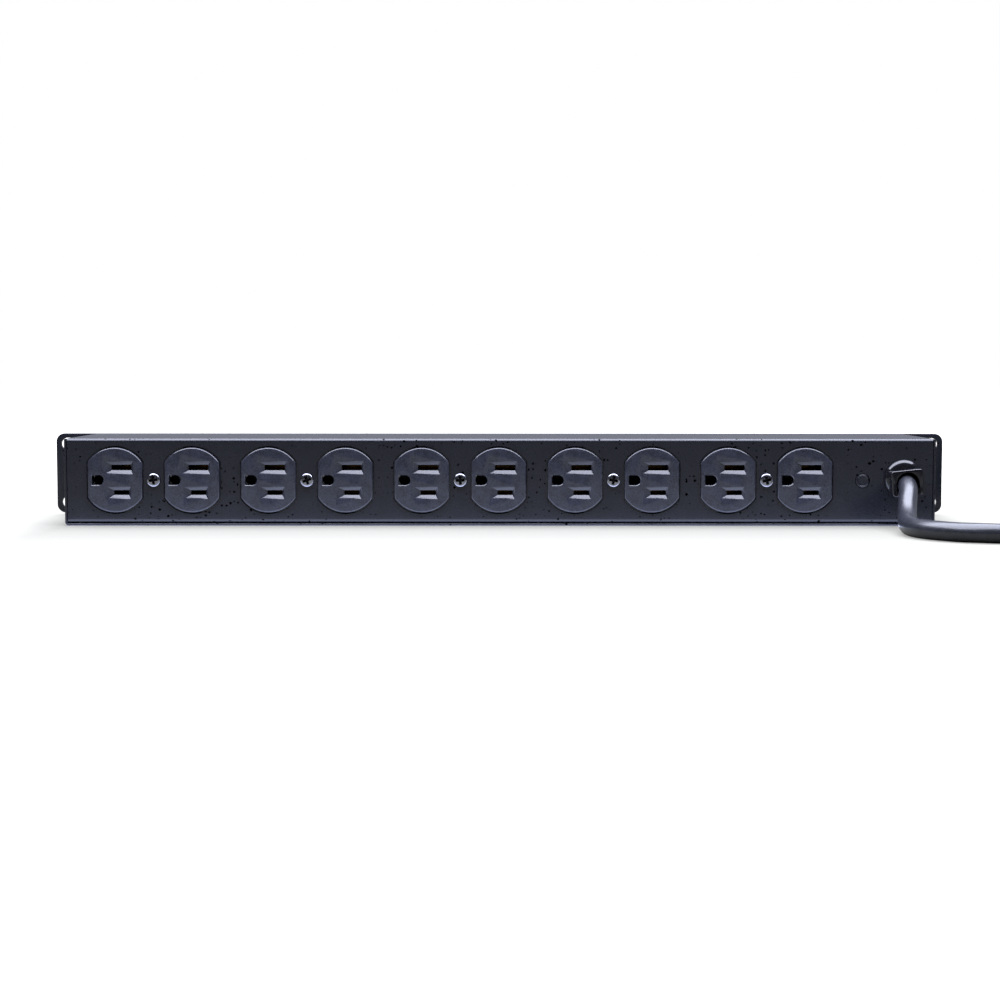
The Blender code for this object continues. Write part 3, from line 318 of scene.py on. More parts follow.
# Black polyester powder coat on zinc-coated steel, sprayed and baked: a fine orange peel, a
# little cloudy, with pin holes and fish eyes where the powder drew back. The holes are cells
# whose centres wander; each reaches as far as its own lot says, and further in crowded patches
def powderCoat(values):
    material, tree = emptyMaterial(values["name"])
    point = addNode(tree, "TexCoord", {}, "Object")
    inputs = {"Vector": point, "Scale": 1000 / values["peelMm"], "Detail": 3.0, "Roughness": 0.55}
    peel = addNode(tree, "TexNoise", inputs)
    inputs = {"Vector": point, "Scale": 1000 / values["cloudMm"], "Detail": 4.0, "Roughness": 0.6}
    cloud = addNode(tree, "TexNoise", inputs)
    inputs = {"Vector": point, "Scale": 1000 / values["crowdMm"], "Detail": 1.0}
    crowd = addNode(tree, "TexNoise", inputs)
    wander = addNode(tree, "TexNoise", {"Vector": point, "Scale": values["wanderPerM"]}, "Color")
    wander = addNode(tree, "VectorMath", {0: wander, 1: (-0.5, -0.5, -0.5)})
    inputs = {0: wander, "Scale": values["wanderM"]}
    wander = addNode(tree, "VectorMath", inputs, operation="SCALE")
    shifted = addNode(tree, "VectorMath", {0: point, 1: wander})
    inputs = {"Vector": shifted, "Scale": 1000 / values["pitPitchMm"]}
    cells = addNode(tree, "TexVoronoi", inputs, None)
    lot = addNode(tree, "SeparateColor", {0: cells.outputs["Color"]})
    reach = addNode(tree, "MapRange", {0: lot, 1: 0.15, 2: 1.0, 3: 0.0, 4: values["pitReach"]})
    crowd = addNode(tree, "MapRange", {0: crowd, 1: 0.40, 2: 0.60, 3: 0.55, 4: 1.15})
    reach = addNode(tree, "Math", {0: reach, 1: crowd}, operation="MULTIPLY")
    inputs = {0: reach, 1: cells.outputs["Distance"]}
    inside = addNode(tree, "Math", inputs, operation="SUBTRACT")
    shadedPit = addNode(tree, "MapRange", {0: inside, 1: 0.0, 2: 0.05})
    inputs = {0: cloud, 6: linear(values["dark"]), 7: linear(values["light"])}
    coat = addNode(tree, "Mix", inputs, 2, data_type="RGBA")
    inputs = {0: shadedPit, 6: coat, 7: linear(values["shadedPit"])}
    colour = addNode(tree, "Mix", inputs, 2, data_type="RGBA")
    sunk = addNode(tree, "Math", {0: shadedPit, 1: values["pitDepth"]}, operation="MULTIPLY")
    relief = addNode(tree, "Math", {0: peel, 1: sunk}, operation="SUBTRACT")
    # painted shade in the holes: they are made a black metal, so that they give no mirror light
    # back
    extra = {"IOR": values["ior"], "Metallic": shadedPit}
    closeMaterial(tree, values, colour, peel, relief, extra)
    return material


# Moulded plastic: a spark-eroded mould leaves a fine matt grain, and the colour mottles with it
def mouldedPlastic(values):
    material, tree = emptyMaterial(values["name"])
    point = addNode(tree, "TexCoord", {}, "Object")
    inputs = {"Vector": point, "Scale": 1000 / values["grainMm"], "Detail": 3.0, "Roughness": 0.6}
    grain = addNode(tree, "TexNoise", inputs)
    inputs = {"Vector": point, "Scale": 1000 / values["flowMm"], "Detail": 3.0}
    flow = addNode(tree, "TexNoise", inputs)
    mixed = addNode(tree, "Math", {0: grain, 1: 0.7}, operation="MULTIPLY")
    mixed = addNode(tree, "Math", {0: flow, 1: 0.3, 2: mixed}, operation="MULTIPLY_ADD")
    share = addNode(tree, "MapRange", {0: mixed, 1: 0.36, 2: 0.64})
    inputs = {0: share, 6: linear(values["dark"]), 7: linear(values["light"])}
    colour = addNode(tree, "Mix", inputs, 2, data_type="RGBA")
    closeMaterial(tree, values, colour, grain, grain, {"IOR": values["ior"]})
    return material


# Plated or rolled metal: long faint draw lines along one axis over a slightly cloudy plate
def platedMetal(values):
    material, tree = emptyMaterial(values["name"])
    point = addNode(tree, "TexCoord", {}, "Object")
    drawn = addNode(tree, "Mapping", {"Vector": point, "Scale": values["stretch"]})
    inputs = {"Vector": drawn, "Scale": 1000 / values["lineMm"], "Detail": 3.0, "Roughness": 0.6}
    lines = addNode(tree, "TexNoise", inputs)
    cloud = addNode(tree, "TexNoise", {"Vector": point, "Scale": 1000 / values["cloudMm"]})
    inputs = {0: cloud, 6: linear(values["dark"]), 7: linear(values["light"])}
    colour = addNode(tree, "Mix", inputs, 2, data_type="RGBA")
    closeMaterial(tree, values, colour, lines, lines, {"Metallic": 1.0})
    return material


# Extruded PVC jacket: smooth and semi-gloss, with faint drag lines along it and a little dust.
# Its UV runs round (u) and along in metres (v)
def cordJacket(values):
    material, tree = emptyMaterial(values["name"])
    surface = addNode(tree, "UVMap", {}, uv_map="along")
    drag = addNode(tree, "Mapping", {"Vector": surface, "Scale": values["drag"]})
    lines = addNode(tree, "TexNoise", {"Vector": drag, "Scale": 1.0, "Detail": 3.0})
    point = addNode(tree, "TexCoord", {}, "Object")
    inputs = {"Vector": point, "Scale": 1000 / values["dustMm"], "Detail": 3.0, "Roughness": 0.6}
    dust = addNode(tree, "TexNoise", inputs)
    share = addNode(tree, "MapRange", {0: dust, 1: 0.35, 2: 0.7})
    inputs = {0: share, 6: linear(values["dark"]), 7: linear(values["light"])}
    colour = addNode(tree, "Mix", inputs, 2, data_type="RGBA")
    closeMaterial(tree, values, colour, lines, lines, {"IOR": values["ior"]})
    return material


# Hook and loop tape: a ground weave of nylon threads under a nap of small loops. The weave is
# sin(pi u / pitch) sin(pi v / pitch)
def tapeWeave(values):
    material, tree = emptyMaterial(values["name"])
    surface = addNode(tree, "UVMap", {}, uv_map="along")
    scale = 1000 * math.pi / values["threadMm"]
    inputs = {"Vector": surface, "Scale": (scale, scale, 1.0)}
    waves = addNode(tree, "Mapping", inputs)
    split = addNode(tree, "SeparateXYZ", {0: waves}, None)
    warp = addNode(tree, "Math", {0: split.outputs[0]}, operation="SINE")
    weft = addNode(tree, "Math", {0: split.outputs[1]}, operation="SINE")
    woven = addNode(tree, "Math", {0: warp, 1: weft}, operation="MULTIPLY")
    point = addNode(tree, "TexCoord", {}, "Object")
    inputs = {"Vector": point, "Scale": 1000 / values["napMm"], "Detail": 4.0, "Roughness": 0.7}
    nap = addNode(tree, "TexNoise", inputs)
    height = addNode(tree, "Math", {0: woven, 1: 0.5, 2: nap}, operation="MULTIPLY_ADD")
    # painted highlight: the colour goes paler where the weave and the nap stand highest
    share = addNode(tree, "MapRange", {0: height, 1: 0.1, 2: 1.1})
    inputs = {0: share, 6: linear(values["dark"]), 7: linear(values["light"])}
    colour = addNode(tree, "Mix", inputs, 2, data_type="RGBA")
    closeMaterial(tree, values, colour, nap, height, {"Sheen Weight": 0.3})
    return material


steelCoat = powderCoat({  # nearly black and satin, with small dark holes
    "name": "black powder-coated steel",
    # the holes' near-black colour is painted shade
    "dark": "#15161b", "light": "#1c1d24", "shadedPit": "#010101", "gloss": (0.18, 0.25), "ior": 1.45,
    "peelMm": 0.9, "depthMm": 0.0022, "cloudMm": 6.0,
    "pitPitchMm": 2.1, "pitReach": 0.32,  # reach in pitches
    "pitDepth": 0.8,  # in depths of the peel
    "crowdMm": 30.0, "wanderPerM": 900.0, "wanderM": 0.0011,
})
outletNylon = mouldedPlastic({  # matt and grained, a shade lighter than the coat round it
    "name": "dark grey moulded nylon",
    "dark": "#1f2026", "light": "#33353f", "gloss": (0.12, 0.21), "ior": 1.50,
    "grainMm": 0.75,  # coarser than the real 0.2 mm, so that it shows
    "flowMm": 5.0, "depthMm": 0.020,
})
blackNylon = mouldedPlastic({  # from a polished tool: deep black with crisp small highlights
    "name": "black moulded nylon",
    "dark": "#0c0c0f", "light": "#151519", "gloss": (0.10, 0.18), "ior": 1.53,
    "grainMm": 1.2, "flowMm": 6.0, "depthMm": 0.006,
})
housingPlastic = mouldedPlastic({  # glass-filled, so its gloss is broad and dull
    "name": "black moulded thermoplastic",
    "dark": "#151516", "light": "#1f1f21", "gloss": (0.42, 0.55), "ior": 1.50,
    "grainMm": 0.5, "flowMm": 7.0, "depthMm": 0.010,
})
rockerPlastic = mouldedPlastic({  # polished by the tool and by fingers
    "name": "polished black thermoplastic",
    "dark": "#0b0b0c", "light": "#111113", "gloss": (0.14, 0.20), "ior": 1.52,
    "grainMm": 2.0, "flowMm": 9.0, "depthMm": 0.002,
})
markPaint = mouldedPlastic({  # wiped into the sunk marks, chalky and slightly uneven
    "name": "white marking paint",
    "dark": "#c9c9c4", "light": "#dededa", "gloss": (0.45, 0.60), "ior": 1.50,
    "grainMm": 0.4, "flowMm": 2.0, "depthMm": 0.004,
})
resetPlastic = mouldedPlastic({  # plain white, semi-gloss
    "name": "white thermoplastic",
    "dark": "#d9d9d4", "light": "#e6e6e2", "gloss": (0.28, 0.36), "ior": 1.50,
    "grainMm": 0.8, "flowMm": 5.0, "depthMm": 0.003,
})
plugPvc = mouldedPlastic({  # soft PVC moulded over the plug, duller than the jacket
    "name": "black moulded PVC",
    "dark": "#17181c", "light": "#212329", "gloss": (0.34, 0.46), "ior": 1.53,
    "grainMm": 0.5, "flowMm": 5.0, "depthMm": 0.010,
})
zincPlate = platedMetal({  # bright screws, barrel-plated, so without a direction
    "name": "zinc-plated steel",
    "dark": "#7f8087", "light": "#a2a3ab", "gloss": (0.16, 0.26), "stretch": (1.0, 1.0, 1.0),
    "lineMm": 0.6, "cloudMm": 2.5, "depthMm": 0.006,
})
recessShade = platedMetal({  # painted shade: the recess is given a dark finish for the shade that falls in it
    "name": "zinc-plated steel, painted shade in the recess",
    "dark": "#1c1c1f", "light": "#2b2b30", "gloss": (0.40, 0.55), "stretch": (1.0, 1.0, 1.0),
    "lineMm": 0.6, "cloudMm": 1.5, "depthMm": 0.004,
})
nickelPlate = platedMetal({  # warm silver, drawn along its height
    "name": "nickel-plated brass",
    "dark": "#a8a49c", "light": "#c9c5bb", "gloss": (0.16, 0.26), "stretch": (1.0, 1.0, 0.1),
    "lineMm": 0.4, "cloudMm": 4.0, "depthMm": 0.003,
})
shadedBrass = platedMetal({  # real brass strip, darkened well below its own tone: painted shade at the bottom of the slots
    "name": "rolled brass strip",
    "dark": "#5a4522", "light": "#7a6030", "gloss": (0.30, 0.42), "stretch": (0.05, 1.0, 1.0),
    "lineMm": 0.3, "cloudMm": 6.0, "depthMm": 0.004,
})
strapSteel = platedMetal({  # grey strap with rolling lines along it
    "name": "plated strap steel",
    "dark": "#9b9c9f", "light": "#bcbdc1", "gloss": (0.28, 0.42), "stretch": (0.05, 1.0, 1.0),
    "lineMm": 0.3, "cloudMm": 8.0, "depthMm": 0.004,
})
jacketPvc = cordJacket({  # semi-gloss black, a long soft highlight with faint lines in it
    "name": "black PVC cord jacket",
    "dark": "#191a1f", "light": "#24262d", "gloss": (0.26, 0.34), "ior": 1.53,
    "dustMm": 3.0, "depthMm": 0.010,
    "drag": (60.0, 12.0, 1.0),  # waves round the cord, and along each metre of it
})
tieTape = tapeWeave({  # dull black with a pale bloom where the loops catch the light
    "name": "hook and loop tape",
    "dark": "#0b0b0c", "light": "#2a2a2c", "gloss": (0.88, 0.92),
    "threadMm": 0.9,  # coarser than the real 0.3 mm, so that it shows
    "napMm": 0.5, "depthMm": 0.15,
})
wireFinishes = {
    slot: mouldedPlastic({  # extruded insulation, smooth and slightly waxy
        "name": name,
        "dark": dark, "light": light, "gloss": (0.34, 0.44), "ior": 1.53,
        "grainMm": 1.5, "flowMm": 8.0, "depthMm": 0.006,
    })
    for slot, name, dark, light in (
        ("wire_black", "black PVC insulation", "#141415", "#1e1e20"),
        ("wire_white", "white PVC insulation", "#d2d2cc", "#e4e4df"),
        ("wire_green", "green PVC insulation", "#1f6b35", "#2b8446"),
    )
}
print("materials made")


lead = {
    "radius": 0.00465,
    "swell": 0.00004,  # how far the three cores push the jacket out
    "lay": 0.06,  # one turn of the cores
    "length": 4.4,  # m
    "gland": (0.2042, faceY, 0.0),  # where it leaves the sheet
    # metres from the gland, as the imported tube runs, then on to the coil
    "route": (
        (0.0000, 0.0180, 0.0224),
        (0.0000, 0.0090, 0.0224),
        (0.0000, 0.0000, 0.0223),
        (-0.0003, -0.0100, 0.0213),
        (-0.0020, -0.0200, 0.0176),
        (-0.0045, -0.0290, 0.0123),
        (-0.0065, -0.0380, 0.0077),
        (-0.0083, -0.0470, 0.0052),
        (-0.0093, -0.0560, 0.0047),
        (-0.0082, -0.0670, 0.0047),
        (-0.0034, -0.0780, 0.0047),
        (0.0047, -0.0870, 0.0047),
        (0.0157, -0.0930, 0.0047),
        (0.0280, -0.0957, 0.0047),
        (0.0410, -0.0962, 0.0047),
        (0.0600, -0.0958, 0.0048),
        (0.0800, -0.0954, 0.0050),
        (0.0960, -0.0952, 0.0053),
        (0.1150, -0.0952, 0.0056),
    ),
    "coil": (0.3380, faceY - 0.02525),
    "ring": 0.0560,  # from the coil's middle to the middle of its turns
    # angle in degrees, distance from the coil's middle and height: a turn keeps its place for
    # most of the way round, then steps over by one diameter, layer by layer
    "steps": (
        (-90, 0.06995, 0.00565),
        (218, 0.06995, 0.00565),
        (282, 0.06065, 0.00565),
        (578, 0.06065, 0.00565),
        (642, 0.05135, 0.00565),
        (938, 0.05135, 0.00565),
        (1002, 0.04205, 0.00565),
        (1267, 0.04205, 0.00565),
        (1318, 0.04205, 0.01495),
        (1583, 0.04205, 0.01495),
        (1647, 0.05135, 0.01495),
        (1943, 0.05135, 0.01495),
        (2007, 0.06065, 0.01495),
        (2303, 0.06065, 0.01495),
        (2367, 0.06995, 0.01495),
        (2632, 0.06995, 0.01495),
        (2683, 0.06995, 0.02425),
        (2948, 0.06995, 0.02425),
        (3012, 0.06065, 0.02425),
        (3308, 0.06065, 0.02425),
        (3372, 0.05135, 0.02425),
        (3668, 0.05135, 0.02425),
        (3732, 0.04205, 0.02425),
        (3955, 0.04205, 0.02425),
        (3996, 0.05200, 0.03330),
    ),
    # over the coil to the plug: degrees from the plug, distance from the middle, height
    "tail": (
        (-150, 0.0560, 0.03385),
        (-128, 0.0572, 0.03385),
        (-105, 0.0600, 0.03415),
        (-82, 0.0645, 0.03575),
        (-60, 0.0685, 0.03875),
    ),
}
plug = {
    "angle": 205.0,  # degrees round the coil
    "inset": 0.0010,
    "length": 0.0300,
    "boot": 0.0300,
    "bootX": (0.0305, 0.0590),  # where its ribs begin and end
    "bootRadius": (0.0088, 0.0058),
    "rib": (0.0006, 0.0041),  # height, pitch
    "size": (0.0270, 0.0250),
    "blades": (0.00635, 0.0040),  # half their spacing, height above the middle
    "bladeSection": (0.0063, 0.0015),
    "bladeHole": (0.0116, 0.0016),  # distance from the face, radius
    "pocket": (0.00105, 0.00345, 0.0043),  # half width, half height, depth
    "pinPocket": 0.00268,
    "pinRadius": 0.00238,
    "pinReach": 0.0186,
    "pinZ": -0.0079,
    "under": 0.0289,  # top of the coil, which it lies on
}


def lengthAlong(path):
    return np.concatenate([[0], np.cumsum(np.linalg.norm(np.diff(path, axis=0), axis=1))])


# Natural cubic spline: second derivatives solved so that slopes and bends run on through each
# point, then read at even steps of chord length
def smoothPath(points, spacing):
    points = np.array(points, float)
    chord = np.linalg.norm(np.diff(points, axis=0), axis=1)
    knots = lengthAlong(points)
    count = len(points)
    system = np.eye(count)
    inner = np.arange(1, count - 1)
    system[inner, inner - 1] = chord[:-1]
    system[inner, inner] = 2 * (chord[:-1] + chord[1:])
    system[inner, inner + 1] = chord[1:]
    slopes = np.diff(points, axis=0) / chord[:, None]
    right = np.zeros_like(points)
    right[1:-1] = 6 * np.diff(slopes, axis=0)
    bend = np.linalg.solve(system, right)
    t = np.linspace(0, knots[-1], max(3, int(knots[-1] / spacing) + 1))
    i = np.clip(np.searchsorted(knots, t, side="right") - 1, 0, count - 2)
    h = chord[i][:, None]
    a, b = (knots[i + 1] - t)[:, None], (t - knots[i])[:, None]
    return (
        (bend[i] * a**3 + bend[i + 1] * b**3) / (6 * h)
        + (points[i] / h - bend[i] * h / 6) * a
        + (points[i + 1] / h - bend[i + 1] * h / 6) * b
    )


# Coil: distance and height go from one step's value to the next as half a cosine
def windingPath(steps, middle, stepDegrees=3.0):
    steps = np.array(steps, float)
    a = np.arange(steps[0, 0], steps[-1, 0] + stepDegrees / 2, stepDegrees)
    i = np.clip(np.searchsorted(steps[:, 0], a, side="right") - 1, 0, len(steps) - 2)
    t = np.clip((a - steps[i, 0]) / (steps[i + 1, 0] - steps[i, 0]), 0, 1)
    ease = (0.5 - 0.5 * np.cos(np.pi * t))[:, None]
    placed = steps[i, 1:] + (steps[i + 1, 1:] - steps[i, 1:]) * ease
    angle = np.radians(a)
    x = middle[0] + placed[:, 0] * np.cos(angle)
    y = middle[1] + placed[:, 0] * np.sin(angle)
    return np.stack([x, y, placed[:, 1]], axis=1)


# Where the plug's face is, and the way that it points
def plugPlace(values, coil, ring):
    angle = math.radians(values["angle"])
    radial = np.array([math.cos(angle), math.sin(angle), 0])
    along = np.array([-math.sin(angle), math.cos(angle), 0])
    lift = values["under"] + gap + values["size"][1] / 2
    middle = np.array([*coil, lift]) + radial * (ring - values["inset"])
    return middle + along * (values["length"] + values["boot"]) / 2, along


# From the gland to the floor and the coil, round the coil, then over it and into the plug: the
# coil as it is wound, and smooth curves that share its first and last points on either side
def leadPath(values):
    route = np.array(values["route"]) + np.array(values["gland"])
    winding = windingPath(values["steps"], values["coil"])
    face, along = plugPlace(plug, values["coil"], values["ring"])
    entry = face - along * (plug["length"] + plug["boot"])
    tail = np.array(values["tail"])
    angle = np.radians(tail[:, 0] + plug["angle"])
    flat = np.stack([np.cos(angle), np.sin(angle)], axis=1) * tail[:, 1:2] + values["coil"]
    over = np.insert(flat, 2, tail[:, 2], axis=1)
    first = smoothPath(np.concatenate([route, winding[:6:2]]), 0.003)
    ends = [entry - along * 0.014, entry, entry + along * 0.0070]
    last = smoothPath(np.concatenate([winding[-6::2], over, ends]), 0.003)
    return np.concatenate([first, winding[5:-5], last])


# Tube round a path: side = tangent x up, lift = side x tangent, and each ring is
# centre + r (cos a side + sin a lift), where r swells a little three times round as it twists
def tubeMesh(name, path, radius, swell, lay, sides=20):
    keep = np.concatenate([[True], np.linalg.norm(np.diff(path, axis=0), axis=1) > 1e-5])
    path = path[keep]
    tangent = np.gradient(path, axis=0)
    tangent /= np.linalg.norm(tangent, axis=1, keepdims=True)
    side = np.cross(tangent, (0, 0, 1))
    side /= np.linalg.norm(side, axis=1, keepdims=True)
    lift = np.cross(side, tangent)
    far = lengthAlong(path)
    a = np.linspace(0, 2 * np.pi, sides, endpoint=False)
    r = radius + swell * (np.cos(3 * (a[None] + 2 * np.pi * far[:, None] / lay)) - 1)
    grid = (
        path[:, None]
        + (r * np.cos(a))[..., None] * side[:, None]
        + (r * np.sin(a))[..., None] * lift[:, None]
    )
    mesh = gridMesh(name, grid)
    # u goes round from 0 to 1, v is the distance along in metres
    corner = faceCorners(mesh)
    u = (corner % sides) / sides
    v = far[np.minimum(corner // sides, len(far) - 1)]
    start = np.empty(len(mesh.polygons), np.int32)
    total = np.empty(len(mesh.polygons), np.int32)
    mesh.polygons.foreach_get("loop_start", start)
    mesh.polygons.foreach_get("loop_total", total)
    four = start[total == 4]
    spot = four[:, None] + np.arange(4)
    wraps = u[spot].max(axis=1) - u[spot].min(axis=1) > 0.5
    fixed = u[spot]
    fixed[wraps] = np.where(fixed[wraps] < 0.5, fixed[wraps] + 1, fixed[wraps])
    u[spot] = fixed
    layAlong(mesh, u, v)
    return mesh


leadLine = leadPath(lead)
leadPiece = addPiece(
    "mainsLead",
    tubeMesh("mainsLead", leadLine, lead["radius"], lead["swell"], lead["lay"]),
    jacketPvc,
    replaces=("cord", "cord_coil", "cord_tail"),
    sharp=60,
)
print("lead laid:", round(float(lengthAlong(leadLine)[-1]), 3), "m")


# Plug, moulded onto the lead: drawn along +X with its face at x = 0, then turned to its place
plugFace, plugAlong = plugPlace(plug, lead["coil"], lead["ring"])
plugTurn = Matrix.Translation(plugFace.tolist()) @ Matrix.Rotation(
    math.atan2(plugAlong[1], plugAlong[0]), 4, "Z"
)


# Points where |x / half width|^power + |y / half height|^power is one
def superellipse(halfWide, halfHigh, power, steps=48):
    unit = circle((0, 0), 1, steps)
    return np.sign(unit) * np.abs(unit) ** (2 / power) * (halfWide, halfHigh)


# Rings of the body, then of the boot, whose radius narrows and has ribs where a cosine is over
# 0.1, then of the bore that the lead comes in by
def makePlug(values):
    # distance behind the face, half width, half height, squareness of the section
    stations = (
        (0.0000, 0.0122, 0.0112, 4.5),
        (0.0005, 0.0131, 0.0121, 4.5),
        (0.0016, 0.0135, 0.0125, 4.5),
        (0.0090, 0.0135, 0.0125, 4.2),
        (0.0150, 0.0129, 0.0116, 3.6),
        (0.0200, 0.0128, 0.0113, 3.2),
        (0.0250, 0.0130, 0.0116, 3.0),
        (0.0285, 0.0122, 0.0108, 2.6),
        (0.0300, 0.0100, 0.0096, 2.2),
    )
    rings = [np.insert(superellipse(w, h, p), 0, -x, axis=1) for x, w, h, p in stations]
    x = np.linspace(*values["bootX"], 58)
    high, pitch = values["rib"]
    rib = high * (np.cos(2 * np.pi * (x - x[0]) / pitch) > 0.1)
    r = np.interp(x, values["bootX"], values["bootRadius"]) + rib
    end, bore = values["length"] + values["boot"], lead["radius"] + 0.0004
    x = [*x, end, end, end - 0.0078]
    r = [*r, 0.0062, bore, bore]
    rings += [np.insert(circle((0, 0), r[i], 48), 0, -x[i], axis=1) for i in range(len(x))]
    body = gridMesh("plugBody", np.array(rings))
    y, z = values["blades"]
    wide, high, deep = values["pocket"]
    pockets = [
        roundedBlock(
            "pocket",
            (side * y - wide, -deep, z - high),
            (side * y + wide, 0.0020, z + high),
            0.0003,
        )
        for side in (-1, 1)
    ]
    quarter = Matrix.Rotation(-math.pi / 2, 4, "Z")  # from depth along Y to depth along X
    pockets = [transformed(pocket, quarter) for pocket in pockets]
    pin = rodProfile(values["pinPocket"], -deep, 0.0020)
    pin = turnedProfile("pinPocket", pin, quarterTurn((0, 0, values["pinZ"]), "Y"), 32)
    mesh = carved(body, [("DIFFERENCE", p) for p in (*pockets, pin)])
    mesh = transformed(mesh, plugTurn)
    return addPiece("plugMoulding", mesh, plugPvc, replaces=("plug_body",))


# Blade: a flat bar with rounded edges, a tapered tip and the small hole near its end
def makeBlade(name, node, side):
    y, z = plug["blades"]
    outline = roundedRectangle((0, 0), plug["bladeSection"], 0.0003, 4)
    rows = []
    for x, shrink in ((-0.0040, 1), (0.0150, 1), (0.0168, 0.86), (0.0175, 0.6)):
        ring = outline * (1 - (1 - shrink) * np.array([0.35, 1.0]))
        rows.append(np.insert(ring[:, ::-1], 0, x, axis=1))
    bar = gridMesh(name, np.array(rows))
    x, radius = plug["bladeHole"]
    hole = rodProfile(radius, -0.002, 0.002)
    hole = turnedProfile("hole", hole, quarterTurn((x, 0, 0), "X"), 32)
    mesh = carved(bar, [("DIFFERENCE", hole)])
    mesh.transform(Matrix.Translation((0, side * y, z)))
    mesh = transformed(mesh, plugTurn)
    return addPiece(name, mesh, nickelPlate, replaces=(node,))


# Round ground pin: a rod with an elliptic tip, radius r cos t at reach + 2.4 mm sin t
def makePin():
    t = np.radians(np.linspace(0, 90, 10))
    r = plug["pinRadius"]
    tip = np.stack([r * np.cos(t), plug["pinReach"] + 0.0024 * np.sin(t)], axis=1)
    profile = [(0.0, -0.0040), (0.0021, -0.0040), (r, -0.0037), *tip.tolist()]
    place = plugTurn @ quarterTurn((0, 0, plug["pinZ"]), "Y")
    mesh = turnedProfile("plugGroundPin", profile, place, 40)
    return addPiece("plugGroundPin", mesh, nickelPlate, replaces=("plug_ground_pin",))


# Tie: hook and loop tape round the coil, a closed band whose path is a rounded rectangle
tie = {
    "angle": 20.0,
    "wide": 0.0120,
    "thick": 0.0006,
    "half": (0.0195, 0.01425),
    "middleZ": 0.01495,
    "corner": 0.0030,
    "reach": 0.017,  # from its middle, on average
}


def makeTie(values):
    angle = math.radians(values["angle"])
    out = np.array([math.cos(angle), math.sin(angle), 0])
    across = np.array([-math.sin(angle), math.cos(angle), 0])
    middle = np.array([*lead["coil"], values["middleZ"]]) + out * lead["ring"]
    size = (2 * values["half"][0] + values["thick"], 2 * values["half"][1] + values["thick"])
    loop = roundedRectangle((0, 0), size, values["corner"], 10)
    loop = np.concatenate([loop, loop[:1]])
    fine = np.linspace(0, 1, 240)
    far = lengthAlong(loop)
    even = np.stack([np.interp(fine * far[-1], far, loop[:, i]) for i in (0, 1)], axis=1)[:-1]
    # the tape's four edges, as rings round the loop
    normal = even - insetOutline(even, 1.0)
    normal /= np.linalg.norm(normal, axis=1, keepdims=True)
    half = values["wide"] / 2
    corners = ((-half, -0.5), (half, -0.5), (half, 0.5), (-half, 0.5))
    grid = np.stack(
        [
            middle
            + across * side
            + (even[:, :1] + normal[:, :1] * level * values["thick"]) * out
            + np.array([0, 0, 1.0]) * (even[:, 1:] + normal[:, 1:] * level * values["thick"])
            for side, level in corners
        ],
        axis=1,
    )
    ring = np.concatenate([grid, grid[:1]])
    mesh = gridMesh("coilTie", ring, capped=False)
    place = np.empty(len(mesh.vertices) * 3)
    mesh.vertices.foreach_get("co", place)
    place = (place.reshape(-1, 3) - middle)[faceCorners(mesh)]
    layAlong(mesh, place @ across, np.arctan2(place[:, 2], place @ out) * values["reach"])
    return addPiece("coilTie", mesh, tieTape, replaces=("coil_tie",))


plugPieces = [
    makePlug(plug),
    makeBlade("plugBladeLine", "plug_blade_line", -1),
    makeBlade("plugBladeNeutral", "plug_blade_neutral", 1),
    makePin(),
    makeTie(tie),
]
print("plug and tie made")


# Strain relief: a snap-in bushing with a domed flange and an arched hood that is open below
relief = {
    "centre": (0.2042, 0.0240),
    "turn": 6.0,  # degrees, counter-clockwise as the outlets are seen
    "flange": 0.0099,
    "neck": 0.0082,
    "bore": 0.0058,
    "inside": 0.0140,
    "hoodZ": (0.0160, 0.0289),
    "hoodWide": 0.0162,
    "out": 0.0100,
    "archZ": 0.0220,
    "dome": (0.0036, 0.0028, 0.0006),  # width, rise and foot of the flange's rounded rim
    "pocket": ((-0.0036, 0.0030, 0.0020), (0.0036, 0.0118, 0.0120)),  # for the wedge
}


def makeRelief(values):
    x, z = values["centre"]
    centre = Matrix.Translation((x, faceY, z))
    t = np.radians(np.linspace(0, 90, 9))
    rim = values["flange"]
    wide, rise, foot = values["dome"]
    dome = np.stack([rim - wide + wide * np.sin(t), foot + rise * np.cos(t)], axis=1)
    profile = [(0.0, foot + rise), *dome.tolist(), (rim, gap), (values["neck"], gap)]
    profile += [(values["neck"], -values["inside"]), (0.0, -values["inside"])]
    body = turnedProfile("flange", profile, quarterTurn((x, faceY, z), "X"), 72)
    low, high = values["hoodZ"]
    outline = roundedRectangle((x, (low + high) / 2), (values["hoodWide"], high - low), 0.0018, 8)
    hood = carriedOutline(
        "hood",
        outline,
        roundedLevels(faceY - values["out"], faceY - 0.0020, 0.0005, 4, both=False),
    )
    arch = arc((x, values["archZ"]), values["bore"], 0, 180, 40)
    legs = [[x - values["bore"], 0.008], [x + values["bore"], 0.008]]
    opening = carriedOutline(
        "arch", np.concatenate([arch, legs]), [(0, faceY - 0.013), (0, faceY - 0.0029)]
    )
    bore = rodProfile(values["bore"], -0.0220, 0.0061)
    bore = turnedProfile("bore", bore, quarterTurn((x, faceY, values["archZ"]), "X"), 64)
    low, high = np.array(values["pocket"]) + (x, faceY, z)
    pocket = roundedBlock("pocket", low, high, 0.0002)
    mesh = carved(
        body,
        [("UNION", hood), ("DIFFERENCE", opening), ("DIFFERENCE", bore), ("DIFFERENCE", pocket)],
    )
    turn = centre @ Matrix.Rotation(-math.radians(values["turn"]), 4, "Y") @ centre.inverted()
    return addPiece(
        "strainRelief",
        transformed(mesh, turn),
        blackNylon,
        replaces=("strain_relief",),
        sharp=40,
    )


reliefPiece = makeRelief(relief)
print("strain relief made")


